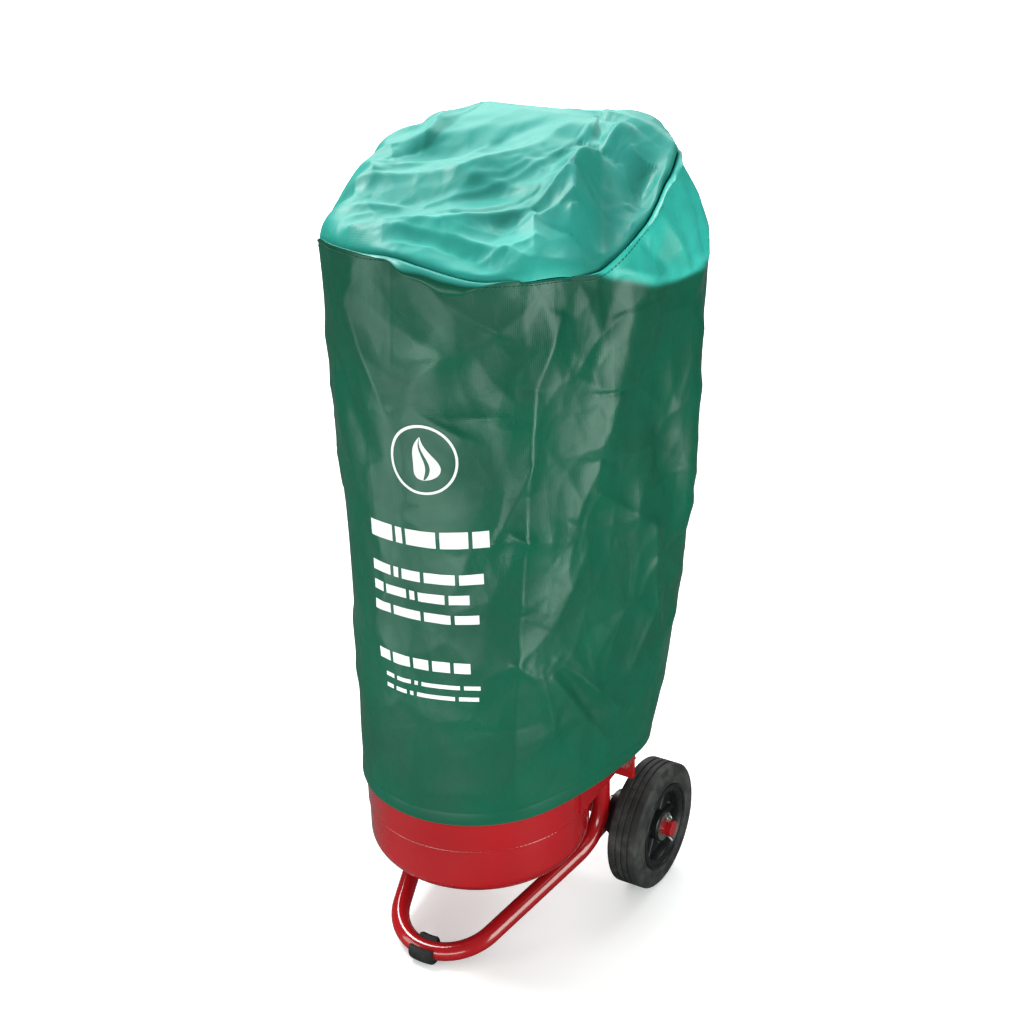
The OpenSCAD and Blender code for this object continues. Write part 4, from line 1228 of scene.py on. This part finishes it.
def stitch_row(name, cloth_map, height, thread):
    """A run of stitches all round the cover at one height of the cloth."""
    length, half_width = STITCH, STITCH_HALF
    total = cloth_map.flat[0, -1, 0] - cloth_map.flat[0, 0, 0]
    count = int(total / (length + STITCH_GAP))
    sides, rings = 6, (0.0, 0.12, 0.5, 0.88, 1.0)
    swell = (0.15, 0.8, 1.0, 0.8, 0.15)
    starts = -total / 2 + total * np.arange(count) / count
    points, faces = [], []
    for s, start in enumerate(starts):
        base = s * sides * len(rings)
        for share, size in zip(rings, swell):
            for a in round_angles(sides):
                points.append((start + length * share, height + half_width * size * math.cos(a),
                               0.0003 + half_width * size * (0.6 + 0.8 * math.sin(a))))
        faces += [tuple(base + k for k in f) for f in grid_faces(len(rings), sides)]
        last = base + sides * (len(rings) - 1)
        faces += [tuple(range(base + sides - 1, base - 1, -1)), tuple(range(last, last + sides))]
    points = np.array(points)
    placed = cloth_map.at(points[:, 0], points[:, 1], points[:, 2:3])
    row = add_mesh(name, placed, faces, thread, "cover")
    tidy_mesh(row, 0)
    return row


# Section of the turned hem: height above the cloth's lower edge, distance out from the cloth.
HEM_OUTLINE = (
    (0.0150, 0.0001), (0.0125, 0.0005), (0.0100, 0.0008), (0.0060, 0.0009), (0.0008, 0.0012),
    (-0.0009, 0.0008), (-0.0012, -0.0004), (-0.0006, -0.0016), (0.0006, -0.0015), (0.0008, -0.0002),
    (0.0012, 0.0001), (0.0060, 0.0001),
)


def hem_band(cloth_map, cloth):
    """The turned hem: a second layer outside the cloth's lower edge, rolled under it."""
    count = SIDE_COLUMNS
    total = cloth_map.flat[0, -1, 0] - cloth_map.flat[0, 0, 0]
    around = -total / 2 + total * (count / (count - 1)) * np.arange(count) / count
    rings = []
    for rise, proud in HEM_OUTLINE:
        height = np.full(count, HEM_Z + max(rise, 0.0))
        ring = cloth_map.at(around, height, proud)
        ring[:, 2] += min(rise, 0.0)
        rings.append(ring)
    faces = grid_faces(len(rings), count, wrap_rows=True)
    band = add_mesh("cover_hem_band", np.concatenate(rings), faces, cloth, "cover")
    tidy_mesh(band, 0)
    return band


# How far the outer and inner face of the print are above the cloth.
INK_PROUD = (0.00045, 0.00015)


def printed_patch(name, cloth_map, around, height, ink):
    """A thin printed shape on the cloth, from grids of distance round and height."""
    rows, columns = around.shape
    layers = [cloth_map.at(around, height, np.full(around.shape + (1,), proud)) for proud in INK_PROUD]
    points = np.concatenate([layer.reshape(-1, 3) for layer in layers])
    faces = grid_faces(rows, columns, wrap_columns=False)
    block = rows * columns
    faces += [tuple(block + k for k in reversed(f)) for f in faces]
    rim = [j for j in range(columns)] + [i * columns + columns - 1 for i in range(1, rows)]
    rim += [(rows - 1) * columns + j for j in range(columns - 2, -1, -1)]
    rim += [i * columns for i in range(rows - 2, 0, -1)]
    faces += [(a, b, block + b, block + a) for a, b in zip(rim, rim[1:] + rim[:1])]
    patch = add_mesh(name, points, faces, ink, "cover")
    tidy_mesh(patch)
    return patch


PRINT_ROUND = 0.034
BADGE_HEIGHT, BADGE_R, BADGE_LINE = 0.655, 0.037, 0.0028
FLAME_LOW, FLAME_HALF, FLAME_TALL, FLAME_SWAY = -0.021, 0.0165, 0.046, 0.004
# Rows of plain blocks under the badge: left end, middle height, block height, block lengths.
PRINT_ROWS = (
    (-0.038, 0.566, 0.019, (0.030, 0.008, 0.034, 0.030, 0.018)),
    (-0.040, 0.520, 0.012, (0.026, 0.006, 0.022, 0.034, 0.026)),
    (-0.040, 0.496, 0.011, (0.014, 0.026, 0.006, 0.030, 0.022)),
    (-0.040, 0.472, 0.011, (0.022, 0.034, 0.030, 0.026)),
    (-0.038, 0.412, 0.013, (0.016, 0.022, 0.018, 0.020, 0.018)),
    (-0.030, 0.387, 0.005, (0.012, 0.018, 0.004, 0.044, 0.018)),
    (-0.030, 0.373, 0.005, (0.010, 0.014, 0.004, 0.044, 0.022)),
)
PRINT_GAP = 0.0045


def make_print(cloth_map, ink):
    """Generic marks: a flame in a ring, and plain blocks where such covers carry their details."""
    pieces = []
    turn = np.linspace(0, 2 * math.pi, 97)[None, :]
    ring_r = np.array([BADGE_R - BADGE_LINE, BADGE_R])[:, None]
    pieces.append(printed_patch(
        "print_ring", cloth_map, PRINT_ROUND + ring_r * np.cos(turn),
        BADGE_HEIGHT + ring_r * np.sin(turn), ink))
    height = np.linspace(0, 1, 33)[:, None]
    half = FLAME_HALF * np.sin(math.pi * height ** 0.62) ** 0.9 * (1 - 0.35 * height)
    sway = FLAME_SWAY * np.sin(2 * math.pi * height * 0.9)
    for name, low, high in (("print_flame_left", -1.0, -0.12), ("print_flame_right", 0.22, 1.0)):
        across = np.linspace(low, high, 9)[None, :]
        pieces.append(printed_patch(
            name, cloth_map, PRINT_ROUND + sway + half * across,
            BADGE_HEIGHT + FLAME_LOW + FLAME_TALL * height + 0 * across, ink))
    for k, (left, level, tall, lengths) in enumerate(PRINT_ROWS):
        for n, length in enumerate(lengths):
            around, height = np.meshgrid(
                np.linspace(left, left + length, int(length / 0.003) + 2),
                level + tall * np.linspace(-0.5, 0.5, max(3, int(tall / 0.003))))
            pieces.append(printed_patch(f"print_block_{k}_{n}", cloth_map, around, height, ink))
            left += length + PRINT_GAP
    return pieces


def close_top(piece, columns, rounds=10):
    """Closes the last ring over the handle's bar and eases the cloth round it."""
    work = bmesh.new()
    work.from_mesh(piece.data)
    work.verts.ensure_lookup_table()
    first = (TOP_ROWS - 1) * columns
    loop = [work.verts[first + j] for j in range(columns)]
    bmesh.ops.remove_doubles(work, verts=loop, dist=0.0012)
    open_edges = [e for e in work.edges if e.is_boundary and e.verts[0].co.z > TENT_Z - 0.03]
    bmesh.ops.triangle_fill(work, edges=open_edges, use_beauty=True, normal=(0, 0, 1))
    near = [v for v in work.verts if not v.is_boundary and v.co.z > TENT_Z - 0.020]
    for _ in range(rounds):
        bmesh.ops.smooth_vert(
            work, verts=near, factor=0.5, use_axis_x=False, use_axis_y=False, use_axis_z=True)
    bmesh.ops.recalc_face_normals(work, faces=work.faces)
    for face in work.faces:
        face.smooth = True
    work.to_mesh(piece.data)
    work.free()


# How far the hem's stitches sit above the hem, and the seam's stitches below the seam.
HEM_STITCH, SEAM_STITCH = 0.0060, 0.0040


def make_cover(side_cloth, top_cloth_painted_lit, thread, ink):
    """The side sleeve, the top panel sewn into it, its hem, stitching and generic print."""
    side, flat, top = cover_grids()
    side_piece = add_mesh(
        "cover_side_cloth", in_frame(side).reshape(-1, 3), grid_faces(len(side), SIDE_COLUMNS),
        side_cloth, "cover", sharp=180)
    set_cloth_coordinates(side_piece, flat, closed=True)
    around, height = flat[..., 0], flat[..., 1]
    # Painted light: the shoulder above the fold under it is marked pale, as though lit from above.
    blur = 0.0035 + 0.030 * smooth_step(around, 0.38, 0.52)
    set_painted_light(side_piece, smooth_step(shoulder_rise(around, height) / blur, -1, 1))
    thicken(side_piece)
    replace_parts(side_piece, "cover_side")
    top_piece = add_mesh(
        "cover_top_cloth", in_frame(top).reshape(-1, 3), grid_faces(TOP_ROWS, SIDE_COLUMNS),
        top_cloth_painted_lit, "cover", sharp=180)
    set_cloth_coordinates(top_piece, top[..., :2], closed=False)
    # Painted light: the top's front slope near the seam is marked pale, as though lit from above.
    seam_round = np.tile(flat[SIDE_ROWS - 1, :, 0], (TOP_ROWS, 1))
    ring = np.linspace(0, 1, TOP_ROWS)[:, None]
    set_painted_light(top_piece, 0.8 * (1 - smooth_step(ring, 0.30, 0.46))
             * smooth_step(seam_round, -0.04, 0.04) * (1 - smooth_step(seam_round, 0.16, 0.23)))
    close_top(top_piece, SIDE_COLUMNS)
    thicken(top_piece)
    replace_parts(top_piece, "cover_top")
    cloth_map = ClothMap(side, flat)
    hem = hem_band(cloth_map, side_cloth)
    stitches = [stitch_row("cover_hem_stitches", cloth_map, HEM_Z + HEM_STITCH, thread),
                stitch_row("cover_seam_stitches", cloth_map, SEAM_Z - SEAM_STITCH, thread)]
    prints = make_print(cloth_map, ink)


# ---------- finishes of the CAD nodes that stay ----------

def finish_nodes(materials):
    """Gives every carried-over CAD node its procedural material by its slot in the record."""
    for part in frame["record"]["subparts"]:
        mesh = NODES[part["node"]].data
        mesh.materials.clear()
        mesh.materials.append(materials[part["material_slot"]])


MATERIALS = {
    "red_paint": red_paint(),
    "steel": metal("zinc_plate", (0.72, 0.71, 0.68), 0.32),
    "inner_tube": metal("drawn_aluminium", (0.78, 0.78, 0.79), 0.35, grain=(1, 1, 0.05)),
    "powder": powder(),
    "brass": metal("turned_brass", (0.72, 0.50, 0.20), 0.26, dull=(0.60, 0.41, 0.165)),
    "yellow_plastic": plastic("yellow_tie", (0.80, 0.50, 0.02), 0.35),
    "chrome": metal("chrome_plate", (0.85, 0.85, 0.86), 0.10, dull=(0.6, 0.6, 0.6)),
    "dial": dial_face(),
    "lens": glass(),
    "rubber": rubber("black_rubber", (0.012, 0.012, 0.013), 0.15),
    "tyre": rubber("tyre_rubber", (0.022, 0.022, 0.023), 0.35),
    "black_plastic": plastic("black_enamel", (0.010, 0.010, 0.011), 0.38),
    "bush_plastic": plastic("bush_nylon", (0.62, 0.60, 0.52), 0.50),
    "cover_cloth": cover_cloth("side_cloth", (0.001, 0.100, 0.055), (0.001, 0.076, 0.042), 0.33),
}
# Painted light: the top panel is the side cloth's green made much lighter, as though lit by the lamp
# overhead.
TOP_CLOTH_PAINTED_LIT = cover_cloth("top_cloth_painted_lit", (0.012, 0.320, 0.255), (0.010, 0.285, 0.225), 0.46, creased=1.8)
THREAD = plastic("green_thread", (0.012, 0.140, 0.085), 0.60)
PRINT_INK = plastic("white_ink", (0.78, 0.80, 0.78), 0.50)
DIAL_GREEN = plastic("dial_green", (0.02, 0.30, 0.05), 0.50)
DIAL_RED = plastic("dial_red", (0.50, 0.02, 0.02), 0.50)
DIAL_BLACK = plastic("dial_black", (0.02, 0.02, 0.02), 0.50)

make_camera()
make_studio()
finish_nodes(MATERIALS)
make_vessel(MATERIALS["red_paint"])
make_frame_tubes(MATERIALS["red_paint"])
make_foot_pad(MATERIALS["rubber"])
for wheel_side, wheel_sign in (("left", -1), ("right", 1)):
    make_wheel(wheel_side, wheel_sign, MATERIALS["tyre"], MATERIALS["black_plastic"])
make_welds(MATERIALS["red_paint"])
make_gauge_marks(DIAL_GREEN, DIAL_RED, DIAL_BLACK)
make_cover(MATERIALS["cover_cloth"], TOP_CLOTH_PAINTED_LIT, THREAD, PRINT_INK)
